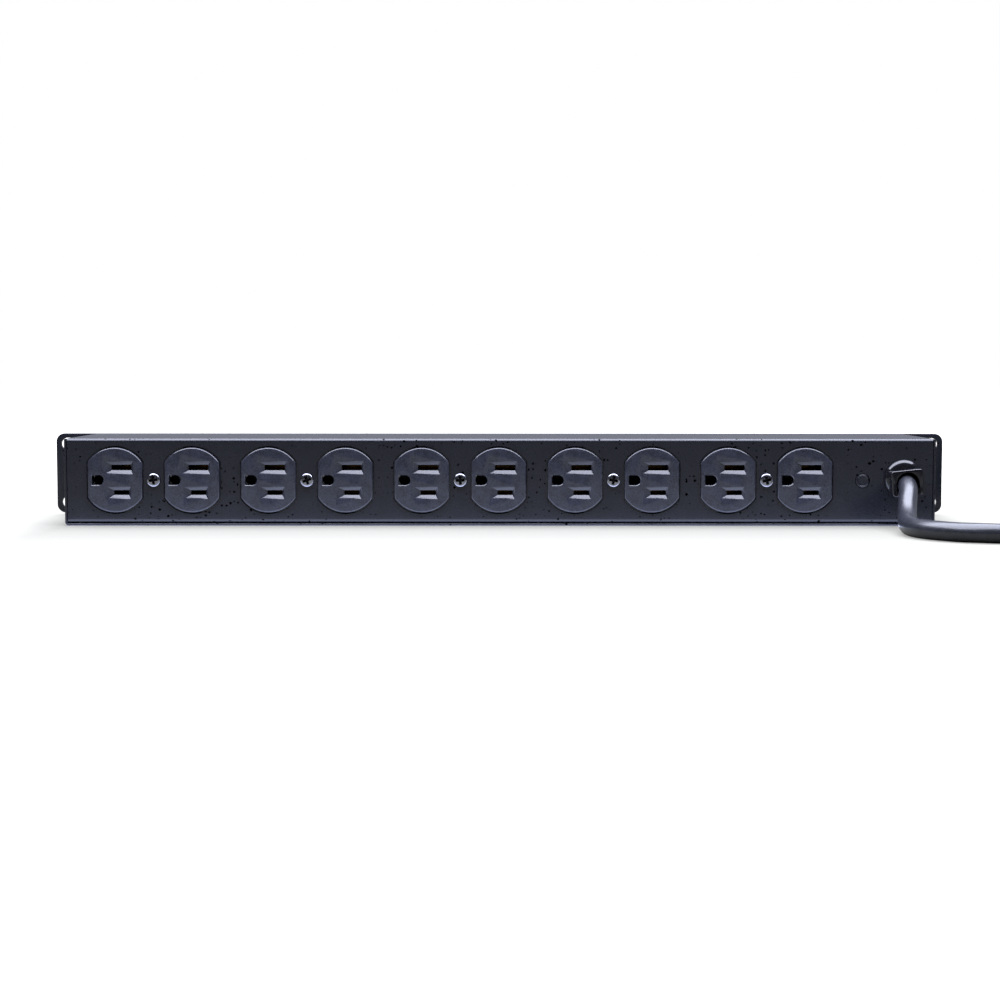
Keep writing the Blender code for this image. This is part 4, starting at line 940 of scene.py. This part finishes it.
# Sheet metal. A fold path runs through corners; near each one it leaves the straight a little
# before the bend, then follows centre - r (away cos a + towards sin a) for a from 0 to 90
# degrees. The outer path goes out and the inner path comes back, swept along the sheet.
sheet = {
    "thick": 0.0012,
    "bend": 0.0018,
    "lead": 0.0003,  # short straight kept beside a bend, so that the flats shade flat
    "returnFlange": 0.0140,
    "farFlange": 0.0110,
    "bodyWidth": 0.4410,
    "bodyHigh": 0.0442,
    "notchClear": 0.0015,
    "edge": 0.00045,  # coat drawn round a sheared edge
}


def foldPath(corners, radius, steps=12):
    corners = np.array(corners, float)
    path = [corners[:1]]
    for before, corner, after in zip(corners, corners[1:], corners[2:]):
        towards = (before - corner) / np.linalg.norm(before - corner)
        away = (after - corner) / np.linalg.norm(after - corner)
        a = np.radians(np.linspace(0, 90, steps + 1))[:, None]
        bend = corner + radius * (towards + away)
        bend = bend - radius * (away * np.cos(a) + towards * np.sin(a))
        path += [
            bend[:1] + towards * sheet["lead"],
            bend,
            bend[-1:] + away * sheet["lead"],
        ]
    return np.concatenate([*path, corners[-1:]])


# Corners moved inwards by a depth: each goes by the depth along the normals of both straights
# beside it, and an end by its own straight's
def movedCorners(corners, depth):
    corners = np.array(corners, float)
    ahead = np.diff(corners, axis=0)
    ahead /= np.linalg.norm(ahead, axis=1, keepdims=True)
    normal = np.stack([ahead[:, 1], -ahead[:, 0]], axis=1) * depth
    first, last = corners[:1] + normal[:1], corners[-1:] + normal[-1:]
    middle = corners[1:-1] + normal[:-1] + normal[1:]
    return np.concatenate([first, middle, last])


# The two sheared ends are rounded: inset r (1 - cos a) at r (1 - sin a) from the end
def foldedSheet(name, corners, low, high, axis, edge=0.0):
    ends = roundedLevels(low, high, edge, 4) if edge else [(0, low), (0, high)]
    rows = []
    for inset, place in ends:
        outer = foldPath(movedCorners(corners, inset), sheet["bend"] - inset)
        depth = sheet["thick"] - inset
        inner = foldPath(movedCorners(corners, depth), sheet["bend"] - depth)
        rows.append(np.insert(np.concatenate([outer, inner[::-1]]), axis, place, axis=1))
    return gridMesh(name, np.array(rows))


# Cutter through the wall along Y: an outline in X and Z between two depths
def yCutter(outline, low, high):
    return carriedOutline("cutter", np.array(outline), [(0, low), (0, high)])


def blockCutter(low, high):
    outline = [(low[0], low[2]), (high[0], low[2]), (high[0], high[2]), (low[0], high[2])]
    return yCutter(outline, low[1], high[1])


outlets = {
    "first": -0.17525,
    "pitch": 0.0775,
    "pair": 0.0389,
    "z": 0.0232,
    "radius": 0.0164,
    "flat": 0.0137,
    "proud": 0.0016,
    "edge": 0.00080,
    "cutoutRadius": 0.01720,
    "cutoutFlat": 0.01445,
    "slab": (0.0700, 0.0335, 0.0025),
    "bladeX": 0.0032,
    "groundX": -0.0087,
    "slots": ((0.00635, (0.0101, 0.0028)), (-0.00635, (0.0077, 0.0024))),
    "ground": (0.0059, 0.0050),
    "groundLip": 0.00035,
    "funnelDepth": 0.0013,
    "funnelReach": (0.0037, 0.0011, 0.0019),
    "screwHole": 0.0020,
}
duplexX = [outlets["first"] + i * outlets["pitch"] for i in range(5)]
panelMid = (panelLow[2] + panelHigh[2]) / 2
panelScrews = [(side * 0.120, z) for side in (-1, 1) for z in (0.0066, 0.0384)]
switch = {
    "x": 0.1900,
    "body": (0.0214, 0.0274, 0.0240),
    "bezel": (0.0250, 0.0310, 0.0020),
    "well": (0.0176, 0.0250),
}
breaker = {
    "x": 0.1560,
    "body": (0.0140, 0.0300, 0.0270),
    "neck": 0.0047,
    "thread": (0.00018, 0.0008),  # depth, pitch
    "nut": (0.0081, 0.0022),  # corner radius, thickness
    "out": 0.0075,
    "button": (0.0031, 0.0007),  # radius, edge
}
stud = {"x": 0.1835, "z": 0.0229, "head": 0.00345}


# Hole for a panel screw in the flanges behind the rack panel
def screwCutter(x, z):
    return yCutter(circle((x, z), outlets["screwHole"], 32), farY - 0.003, farY + 0.003)


# Cut for the switch and the breaker in the same flanges
def controlNotch():
    low = breaker["x"] - breaker["body"][0] / 2 - sheet["notchClear"]
    high = switch["x"] + switch["body"][0] / 2 + sheet["notchClear"]
    bottom = sheet["thick"] + sheet["bend"]
    return blockCutter(
        (low, farY - 2 * sheet["bend"], bottom), (high, farY + 0.002, sheet["bodyHigh"] - bottom)
    )


# Chassis: near flange, outlet face, top and far flange in one fold, less its openings
def makeChassis():
    low = sheet["thick"] + gap
    corners = [
        (faceY + sheet["returnFlange"], low),
        (faceY, low),
        (faceY, sheet["bodyHigh"]),
        (farY, sheet["bodyHigh"]),
        (farY, sheet["bodyHigh"] - sheet["farFlange"]),
    ]
    reach = chassisHigh[0]
    mesh = foldedSheet("chassis", corners, -reach, reach, 0)
    depth = (faceY - 0.003, faceY + 0.003)
    holes = []
    for x in duplexX:
        for dx in (-outlets["pair"] / 2, outlets["pair"] / 2):
            outline = flattenedCircle(
                (x + dx, outlets["z"]), outlets["cutoutRadius"], outlets["cutoutFlat"]
            )
            holes.append(yCutter(outline, *depth))
        holes.append(yCutter(circle((x, outlets["z"]), outlets["screwHole"], 32), *depth))
    holes.append(yCutter(circle((stud["x"], stud["z"]), stud["head"] + gap), *depth))
    holes.append(yCutter(circle(relief["centre"], relief["neck"] + gap), *depth))
    holes += [screwCutter(x, z) for x, z in panelScrews if z > panelMid]
    mesh = carved(mesh, [("DIFFERENCE", joined(holes)), ("DIFFERENCE", controlNotch())])
    return addPiece("chassisSheet", mesh, steelCoat, replaces=("chassis",))


# Base: two ends and the bottom in one fold, with a flange along its far edge
def makeBase():
    side = sheet["bodyWidth"] / 2
    top = sheet["bodyHigh"] - gap
    corners = [(side, top), (side, 0), (-side, 0), (-side, top)]
    mesh = foldedSheet("base", corners, faceY, farY, 1, sheet["edge"])
    reach = side - sheet["thick"] - gap
    flange = blockCutter(
        (-reach, farY - sheet["thick"], sheet["thick"] / 2), (reach, farY, sheet["farFlange"])
    )
    holes = joined([screwCutter(x, z) for x, z in panelScrews if z < panelMid])
    steps = [("UNION", flange), ("DIFFERENCE", holes), ("DIFFERENCE", controlNotch())]
    mesh = carved(mesh, steps)
    return addPiece("baseSheet", mesh, steelCoat, replaces=("bottom_cover",))


rack = {
    "corner": 0.0046,
    "holesX": 0.4651,
    "holesZ": 0.03175,
    "slot": (0.0120, 0.0066),
    "edge": 0.00035,
}


# Rack panel: a plate with rounded corners and eased edges, less its slots and openings
def makeRackPanel():
    size = (panelHigh[0] - panelLow[0], panelHigh[2] - panelLow[2])
    outline = roundedRectangle((0, panelMid), size, rack["corner"], 16)
    mesh = carriedOutline("rackPanel", outline, roundedLevels(earY, frontY, rack["edge"], 4))
    depth = (earY - 0.002, frontY + 0.002)
    holes = []
    for sx, sz in ((-1, -1), (-1, 1), (1, -1), (1, 1)):
        place = (sx * rack["holesX"] / 2, panelMid + sz * rack["holesZ"] / 2)
        holes.append(yCutter(slotOutline(place, rack["slot"]), *depth))
    opening = [side + 2 * gap for side in switch["body"][:2]]
    holes.append(yCutter(roundedRectangle((switch["x"], panelMid), opening, 0.0006, 4), *depth))
    holes.append(yCutter(circle((breaker["x"], panelMid), breaker["neck"] + gap), *depth))
    holes += [yCutter(circle(place, outlets["screwHole"], 32), *depth) for place in panelScrews]
    mesh = carved(mesh, [("DIFFERENCE", joined(holes))])
    return addPiece("rackPanel", mesh, steelCoat, replaces=("front_panel",))


makeChassis()
makeBase()
makeRackPanel()
print("sheet metal folded")


# Mouth of a blade slot: rings that go from the slot's outline at its depth to the wide outline
# at the face and on past it, each side moved out by its reach times share^1.1, where the share
# is 0 at the depth and 1 at the face
def slotFunnel(x, z, slot):
    inner = roundedRectangle((0, 0), slot, 0.0003, 3)
    groundSide, otherSide, upDown = outlets["funnelReach"]
    depth, proud = outlets["funnelDepth"], outlets["proud"]
    rows = []
    for share in (1.3, 1.0, 0.75, 0.5, 0.25, 0.0):
        grow = share**1.1
        moved = inner.copy()
        moved[:, 0] += np.where(inner[:, 0] > 0, otherSide, -groundSide) * grow
        moved[:, 1] += np.sign(inner[:, 1]) * upDown * grow
        rows.append(np.insert(moved + (x, z), 1, faceY - proud + depth * (1 - share), axis=1))
    through = rows[-1].copy()
    through[:, 1] = faceY + 0.0060
    return gridMesh("funnel", np.array([*rows, through]))


# Ground hole: square on one side with small corners, half a circle on the other
def groundOutline(x, z):
    wide, high = outlets["ground"]
    left = x - wide / 2
    middle = left + wide - high / 2
    corner = 0.0004
    upper = arc((left + corner, z + high / 2 - corner), corner, 90, 180, 4)
    lower = arc((left + corner, z - high / 2 + corner), corner, 180, 270, 4)
    return np.concatenate([upper, lower, arc((middle, z), high / 2, -90, 90, 24)])


# One duplex face: two flattened circles with rounded fronts that stand out of a slab, less the
# screw hole, the ground holes and the blade slots
def makeOutletFace(number, x):
    z = outlets["z"]
    slabWide, slabHigh, slabThick = outlets["slab"]
    inside = faceY + sheet["thick"] + gap
    mesh = roundedBlock(
        "slab",
        (x - slabWide / 2, inside, z - slabHigh / 2),
        (x + slabWide / 2, inside + slabThick, z + slabHigh / 2),
        0.0006,
    )
    steps = []
    cutters = [yCutter(circle((x, z), outlets["screwHole"], 32), faceY - 0.001, inside + 0.004)]
    for dx in (-outlets["pair"] / 2, outlets["pair"] / 2):
        outline = flattenedCircle((x + dx, z), outlets["radius"], outlets["flat"])
        levels = roundedLevels(faceY - outlets["proud"], inside + 0.0010, outlets["edge"], 5, False)
        steps.append(("UNION", carriedOutline("boss", outline, levels)))
        lip, front = outlets["groundLip"], faceY - outlets["proud"]
        hole = [(-lip, front - 0.001), (-lip, front), (0, front + lip), (0, inside + 0.004)]
        outline = groundOutline(x + dx + outlets["groundX"], z)
        cutters.append(carriedOutline("groundHole", outline, hole))
        for height, slot in outlets["slots"]:
            cutters.append(slotFunnel(x + dx + outlets["bladeX"], z + height, slot))
    steps.append(("DIFFERENCE", joined(cutters)))
    return addPiece(
        f"outletFace{number}",
        carved(mesh, steps),
        outletNylon,
        replaces=(f"receptacle_face_{number}",),
        sharp=28,
    )


# Pan-head screw: height h (0.45 + 0.55 cos t) over radius r (sin t)^0.8, a short skirt, and a
# Phillips recess of two crossed tapered bars
screws = {
    "receptacle": (0.0034, 0.0017, 0.0090),  # head radius, head height, reach
    "panel": (0.0028, 0.0017, 0.0065),
    "shank": 0.0016,
    "recess": (0.68, 0.21),  # half length and half width of its bars, in head radii
    "receptacleSpin": (8, 20, 3, -9, 14),  # degrees that each was left turned by
    "panelSpin": (20, 63, 41, 8),
}


def makeScrew(name, node, place, facing, size, spin):
    radius, height, reach = size
    shank = screws["shank"]
    t = np.radians(np.linspace(4, 90, 12))
    dome = np.stack([radius * np.sin(t) ** 0.8, height * (0.45 + 0.55 * np.cos(t))], axis=1)
    profile = [(0.0, height), *dome.tolist(), (radius, 0.0001), (radius - 0.0001, 0.0)]
    profile += [(shank, 0.0), (shank, -reach + shank / 2), (0.0, -reach)]
    mesh = turnedProfile("screw", profile, Matrix(), 48)
    arm, narrow = (radius * share for share in screws["recess"])
    bars = []
    for turn in (0, 90):
        rows = []
        for level, share in ((height * 1.1, 1.0), (height * 0.7, 0.9), (-height * 0.2, 0.5)):
            corners = np.array([(-1, -1), (1, -1), (1, 1), (-1, 1)], float)
            flat = corners * (arm * share, narrow * (0.7 + 0.3 * share))
            a = math.radians(turn)
            spun = flat @ np.array([[math.cos(a), math.sin(a)], [-math.sin(a), math.cos(a)]])
            rows.append(np.insert(spun, 2, level, axis=1))
        bars.append(gridMesh("bar", np.array(rows)))
    mesh = carved(mesh, [("DIFFERENCE", bar) for bar in bars])
    # painted shade in the recess: faces well under the dome take the dark finish
    middles = faceMiddles(mesh)
    out = np.linalg.norm(middles[:, :2], axis=1)
    skin = height * (0.45 + 0.55 * np.sqrt(np.clip(1 - (out / radius) ** 2.5, 0, 1)))
    dark = (middles[:, 2] < skin - 0.00012) & (middles[:, 2] > -height) & (out < arm)
    turned = Vector((0, 0, 1)).rotation_difference(Vector(facing)).to_matrix().to_4x4()
    mesh = transformed(
        mesh, Matrix.Translation(place) @ turned @ Matrix.Rotation(math.radians(spin), 4, "Z")
    )
    piece = addPiece(name, mesh, zincPlate, replaces=(node,))
    finishFaces(piece, recessShade, dark)


for i, (x, spin) in enumerate(zip(duplexX, screws["receptacleSpin"]), 1):
    makeOutletFace(i, x)
    place, size = (x, faceY - gap, outlets["z"]), screws["receptacle"]
    makeScrew(f"outletScrew{i}", f"receptacle_screw_{i}", place, (0, -1, 0), size, spin)
for i, ((x, z), spin) in enumerate(zip(panelScrews, screws["panelSpin"]), 1):
    place, size = (x, frontY + gap, z), screws["panel"]
    makeScrew(f"panelScrew{i}", f"panel_screw_{i}", place, (0, 1, 0), size, spin)
print("outlets and screws made")


# Head of the clinched stud, flush with the sheet: a disc on its shank, with the ring that the
# clinching tool leaves: height 0.22 mm cos^2 across a 1 mm wide band
def makeStud():
    r = stud["head"]
    t = np.linspace(-1, 1, 9)
    ridge = np.stack([r - 0.00058 + 0.0005 * t, 0.00022 * np.cos(t * np.pi / 2) ** 2], axis=1)
    profile = [(0.0, 0.0), (r * 0.4, 0.0), *ridge.tolist(), (r, -0.00020)]
    profile += [(r, -0.0012), (0.0020, -0.0012), (0.0020, -0.0128), (0.0018, -0.0130)]
    place = quarterTurn((stud["x"], faceY, stud["z"]), "X")
    mesh = turnedProfile("stud", [*profile, (0.0, -0.0130)], place)
    return addPiece("groundStud", mesh, steelCoat, replaces=("ground_stud",))


makeStud()


# Rocker: a shallow V outside and a rounded belly inside
rocker = {
    "size": (0.0170, 0.0224),
    "throw": 20.0,  # degrees
    "pivot": 0.0030,
    "belly": (0.0052, 0.0020),
    "soft": 0.03,  # bottom of the V, as a share of its reach
    "sunk": 0.00025,
}
switchFront = frontY + gap + switch["bezel"][2]
switchPivot = (switch["x"], switchFront - rocker["pivot"], panelMid)


# Switch housing: a body and a bezel with a rounded rim, less the well that the rocker sits in
# and the sockets of its pins
def makeSwitchHousing():
    x, z = switch["x"], panelMid
    wide, high, deep = switch["body"]
    bezelWide, bezelHigh = switch["bezel"][:2]
    foot = frontY + gap
    front = switchFront
    body = roundedBlock(
        "switchBody",
        (x - wide / 2, front - deep, z - high / 2),
        (x + wide / 2, front - 0.0005, z + high / 2),
        0.0004,
    )
    outline = roundedRectangle((x, z), (bezelWide, bezelHigh), 0.0022, 8)
    levels = roundedLevels(foot, front, 0.0009, 5, False)
    bezel = carriedOutline("bezel", outline, [(inset, foot + front - y) for inset, y in levels])
    well = roundedRectangle((x, z), switch["well"], 0.0007, 5)
    rim = [(-0.0008, 0.0010), (-0.0006, 0.0001), (-0.0004, -0.0002), (0, -0.0007), (0, -0.0120)]
    well = carriedOutline("well", well, [(inset, front + y) for inset, y in rim])
    sockets = rodProfile(0.0015, -0.0098, 0.0098)
    sockets = turnedProfile("sockets", sockets, quarterTurn(switchPivot, "Y"), 32)
    mesh = carved(body, [("UNION", bezel), ("DIFFERENCE", well), ("DIFFERENCE", sockets)])
    addPiece("switchHousing", mesh, housingPlastic, replaces=("switch_housing",))


# Section in depth and height from the pivot, with its corners rounded, swept across
def makeRocker():
    reach = rocker["size"][1] / 2
    rise = math.tan(math.radians(rocker["throw"] / 2)) * reach
    dip = rocker["pivot"] + 0.0004
    belly, edge = rocker["belly"]
    t = np.linspace(-1, 1, 41)
    # outside: dip + rise * (sqrt(t^2 + s^2) - s), a V with a soft bottom, rounded off at its ends
    soft = rocker["soft"]
    crown = dip + rise * (np.sqrt(t**2 + soft**2) - soft)
    crown -= 0.0009 * np.clip((np.abs(t) - 0.94) / 0.06, 0, 1) ** 2
    outside = np.stack([crown, t * reach], axis=1)
    s = np.linspace(1, -1, 25)
    inside = np.stack([-edge - (belly - edge) * (1 - s**2) ** 0.5, s * reach], axis=1)
    section = np.concatenate([outside, inside])
    half = rocker["size"][0] / 2
    rows = []
    for across, shrink in (
        (-half, 0.0005),
        (-half + 0.0002, 0.0002),
        (-half + 0.0005, 0.0),
        (half - 0.0005, 0.0),
        (half - 0.0002, 0.0002),
        (half, 0.0005),
    ):
        flat = section - np.sign(section) * shrink
        rows.append(np.insert(flat, 0, across, axis=1))
    mesh = gridMesh("rocker", np.array(rows))
    # one end carries a sunk dash, the other a sunk ring, both the same way from the middle
    markZ = 0.0068
    low, high = (-0.0004, dip - 0.001, markZ - 0.0016), (0.0004, dip + 0.006, markZ + 0.0016)
    dash = roundedBlock("dash", low, high, 0.0003)
    ring = turnedProfile(
        "ring",
        [(0.0010, 0.0020), (0.0018, 0.0020), (0.0018, 0.0080), (0.0010, 0.0080)],
        quarterTurn((0, 0, -markZ), "X", -1),
        48,
        closed=True,
    )
    sunk = rocker["sunk"]
    mesh = carved(mesh, [("DIFFERENCE", sinkTool(mark, section, sunk)) for mark in (dash, ring)])
    pins = rodProfile(0.0012, -0.0093, 0.0093)
    pins = turnedProfile("pins", pins, quarterTurn((0, 0, 0), "Y"), 32)
    mesh = carved(mesh, [("UNION", pins)])
    # white paint in the two sunk marks
    across, depth, height = faceMiddles(mesh).T
    level = dip + rise * (np.sqrt((height / reach) ** 2 + soft**2) - soft)
    inDash = (np.abs(across) < 0.00045) & (np.abs(height - markZ) < 0.0017)
    out = np.hypot(across, height + markZ)
    inRing = (out > 0.00095) & (out < 0.00185)
    painted = (inDash | inRing) & (depth < level - 0.0001) & (depth > level - 0.0006)
    tilt = math.radians(rocker["throw"] / 2)
    place = Matrix.Translation(switchPivot) @ Matrix.Rotation(tilt, 4, "X")
    piece = addPiece(
        "switchRocker",
        transformed(mesh, place),
        rockerPlastic,
        body="rocker",
        replaces=("switch_rocker",),
        sharp=40,
    )
    finishFaces(piece, markPaint, painted)


# The tool kept only where it lies within a shallow depth under the rocker's outside
def sinkTool(tool, section, depth):
    crown = section[:41]
    skin = np.concatenate([crown - (depth, 0), crown[::-1] + (0.004, 0)])
    rows = [np.insert(skin, 0, across, axis=1) for across in (-0.009, 0.009)]
    return carved(tool, [("INTERSECT", gridMesh("skin", np.array(rows)))])


makeSwitchHousing()
makeRocker()


# Push-to-reset breaker: body behind the panel, threaded neck, hexagonal nut and white button
def makeBreaker():
    x, z = breaker["x"], panelMid
    wide, high, deep = breaker["body"]
    back = farY
    neckEnd = frontY + 0.0038
    low, high = (x - wide / 2, back - deep, z - high / 2), (x + wide / 2, back, z + high / 2)
    body = roundedBlock("breakerBody", low, high, 0.0005)
    toFront = quarterTurn((x, 0, z), "X", -1)
    # thread drawn as rings: radius less its depth times (1 - cos) / 2 along the neck
    h = np.linspace(back - 0.0020, neckEnd - 0.0003, 60)
    depth, pitch = breaker["thread"]
    r = breaker["neck"] - depth * (0.5 - 0.5 * np.cos(2 * np.pi * h / pitch))
    profile = [(0.0, h[0]), *np.stack([r, h], axis=1).tolist()]
    profile += [(breaker["neck"] - 0.0004, neckEnd), (0.0, neckEnd)]
    neck = turnedProfile("neck", profile, toFront, 64)
    bore = rodProfile(0.0034, back - 0.0180, neckEnd + 0.002)
    bore = turnedProfile("bore", bore, toFront, 48)
    mesh = carved(body, [("UNION", neck), ("DIFFERENCE", bore)])
    addPiece("breakerHousing", mesh, housingPlastic, replaces=("breaker_housing",))

    # hexagon whose corners are turned off in a cone
    corner, thick = breaker["nut"]
    levels = [(0, frontY + gap), (0, frontY + gap + thick)]
    plate = carriedOutline("nut", circle((x, z), corner, 6), levels)
    cone = turnedProfile(
        "cone",
        [(0.0, frontY), (0.0074, frontY), (0.0084, frontY + 0.0008), (0.0084, frontY + 0.0018)]
        + [(0.0072, frontY + 0.0026), (0.0, frontY + 0.0026)],
        toFront,
        96,
    )
    hole = yCutter(circle((x, z), breaker["neck"] + gap, 64), frontY - 0.001, frontY + 0.004)
    mesh = carved(plate, [("INTERSECT", cone), ("DIFFERENCE", hole)])
    addPiece("breakerNut", mesh, nickelPlate, replaces=("breaker_nut",))

    tip = frontY + breaker["out"]
    t = np.radians(np.linspace(0, 90, 9))
    radius, edge = breaker["button"]
    rim = [radius - edge * (1 - np.sin(t)), tip - 0.0003 - edge * (1 - np.cos(t))]
    profile = [(0.0, tip), (0.0012, tip - 0.00005), *np.stack(rim, axis=1).tolist()]
    profile += [(radius, tip - 0.0190), (0.0, tip - 0.0190)]
    mesh = turnedProfile("button", profile[::-1], toFront, 48)
    addPiece(
        "resetButton",
        mesh,
        resetPlastic,
        body="reset_button",
        replaces=("breaker_button",),
        sharp=40,
    )


makeBreaker()
print("controls made")


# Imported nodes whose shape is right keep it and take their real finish
finishOf = {
    "receptacle_housing": housingPlastic,
    "ground_strap": strapSteel,
    "line_contact": shadedBrass,
    "neutral_contact": shadedBrass,
    "strain_relief_wedge": blackNylon,
    "ground_nut": zincPlate,
    "line_lead": wireFinishes["wire_black"],
    "line_jumper": wireFinishes["wire_black"],
    "line_bus": wireFinishes["wire_black"],
    "neutral_bus": wireFinishes["wire_white"],
    "ground_lead": wireFinishes["wire_green"],
}
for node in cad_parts:
    stem = node.rstrip("0123456789").rstrip("_")
    if stem in finishOf:
        kept = bpy.data.objects[node]
        for index in range(len(kept.material_slots)):
            kept.material_slots[index].material = finishOf[stem]


# Studio: a white light table whose glow, as the camera sees it, fades towards the object in a
# painted soft shadow, a large softbox overhead, and cool air that is brighter behind than in front
studio = {
    "overhead": {
        "place": (0, -0.06, 0.90),
        "size": (1.9, 1.36),
        "power": 96,
        "tint": (0.80, 0.83, 1.0),
    },
    "airTint": (0.84, 0.88, 1.0, 1),
    "airFront": 0.05,
    "airBehind": 0.36,
    "table": "#63625a",
    # camera glow at the object and one shade width away: the painted soft shadow
    "shadowedGlow": (0.18, 0.52),
    "farGlow": 1.0,
    "rimGlow": 3.5,
    "rim": (0.06, 0.24),
    "rimTint": (0.62, 0.70, 1.0, 1),
    "shadeSide": 0.022,
    "shadeFront": 0.120,
}


def makeFloor(values):
    mesh = bpy.data.meshes.new("floor")
    mesh.from_pydata([(-8, -8, 0), (8, -8, 0), (8, 8, 0), (-8, 8, 0)], [], [(0, 1, 2, 3)])
    floor = bpy.data.objects.new("floor", mesh)
    scene.collection.objects.link(floor)
    paint, tree = emptyMaterial("white light table")
    # how far a point lies from the object's footprint, measured in shade widths
    point = addNode(tree, "TexCoord", {}, "Object")
    split = addNode(tree, "SeparateXYZ", {0: point}, None)
    squares = []
    for axis, middle, half, width in (
        (0, 0.0, chassisHigh[0], values["shadeSide"]),
        (1, (faceY + frontY) / 2, (frontY - faceY) / 2, values["shadeFront"]),
    ):
        far = split.outputs[axis]
        steps = [("SUBTRACT", middle), ("ABSOLUTE", 0.0), ("SUBTRACT", half), ("DIVIDE", width)]
        for operation, by in (*steps, ("MAXIMUM", 0.0), ("POWER", 2.0)):
            far = addNode(tree, "Math", {0: far, 1: by}, operation=operation)
        squares.append(far)
    away = addNode(tree, "Math", dict(enumerate(squares)), operation="ADD")
    away = addNode(tree, "Math", {0: away}, operation="SQRT")
    # the camera sees a glow that grows away from the object, a painted soft shadow round it; the
    # object is lit by a bright rim
    near, wide = values["shadowedGlow"]
    shadowedGlow = addNode(tree, "MapRange", {0: away, 1: 0.0, 2: 1.0, 3: near, 4: wide})
    far = addNode(tree, "MapRange", {0: away, 1: 1.0, 2: 6.0, 3: 0.0, 4: values["farGlow"]})
    shadowedGlow = addNode(tree, "Math", {0: shadowedGlow, 1: far}, operation="ADD")
    start, end = values["rim"]
    rim = addNode(tree, "MapRange", {0: away, 1: start, 2: end, 3: values["rimGlow"], 4: 0.0})
    seen = addNode(tree, "LightPath", {}, "Is Camera Ray")
    tints = {0: seen, 6: values["rimTint"], 7: (1, 1, 1, 1)}
    inputs = {
        "Base Color": linear(values["table"]),
        "Roughness": 0.95,
        "Specular IOR Level": 0.0,
        "Emission Strength": addNode(tree, "Mix", {0: seen, 2: rim, 3: shadowedGlow}),
        "Emission Color": addNode(tree, "Mix", tints, 2, data_type="RGBA"),
    }
    surface = addNode(tree, "BsdfPrincipled", inputs)
    addNode(tree, "OutputMaterial", {"Surface": surface}, None)
    mesh.materials.append(paint)


def areaLight(name, place, size, power, tint):
    data = bpy.data.lights.new(name, "AREA")
    data.shape = "RECTANGLE"
    data.size, data.size_y = size
    data.energy = power
    data.color = tint
    made = bpy.data.objects.new(name, data)
    scene.collection.objects.link(made)
    made.location = place


def makeAir(values):
    world = bpy.data.worlds.new("air")
    world.use_nodes = True
    scene.world = world
    tree = world.node_tree
    tree.nodes.clear()
    direction = addNode(tree, "TexCoord", {}, "Generated")
    back = addNode(tree, "SeparateXYZ", {0: direction}, "Y")
    inputs = {0: back, 1: -0.4, 2: 0.7, 3: values["airFront"], 4: values["airBehind"]}
    strength = addNode(tree, "MapRange", inputs)
    seen = addNode(tree, "Background", {"Color": (1, 1, 1, 1)})
    lit = addNode(tree, "Background", {"Color": values["airTint"], "Strength": strength})
    ray = addNode(tree, "LightPath", {}, "Is Camera Ray")
    both = addNode(tree, "MixShader", {0: ray, 1: lit, 2: seen})
    addNode(tree, "OutputWorld", {"Surface": both}, None)


makeFloor(studio)
areaLight("overhead", **studio["overhead"])
makeAir(studio)
print("studio lit")
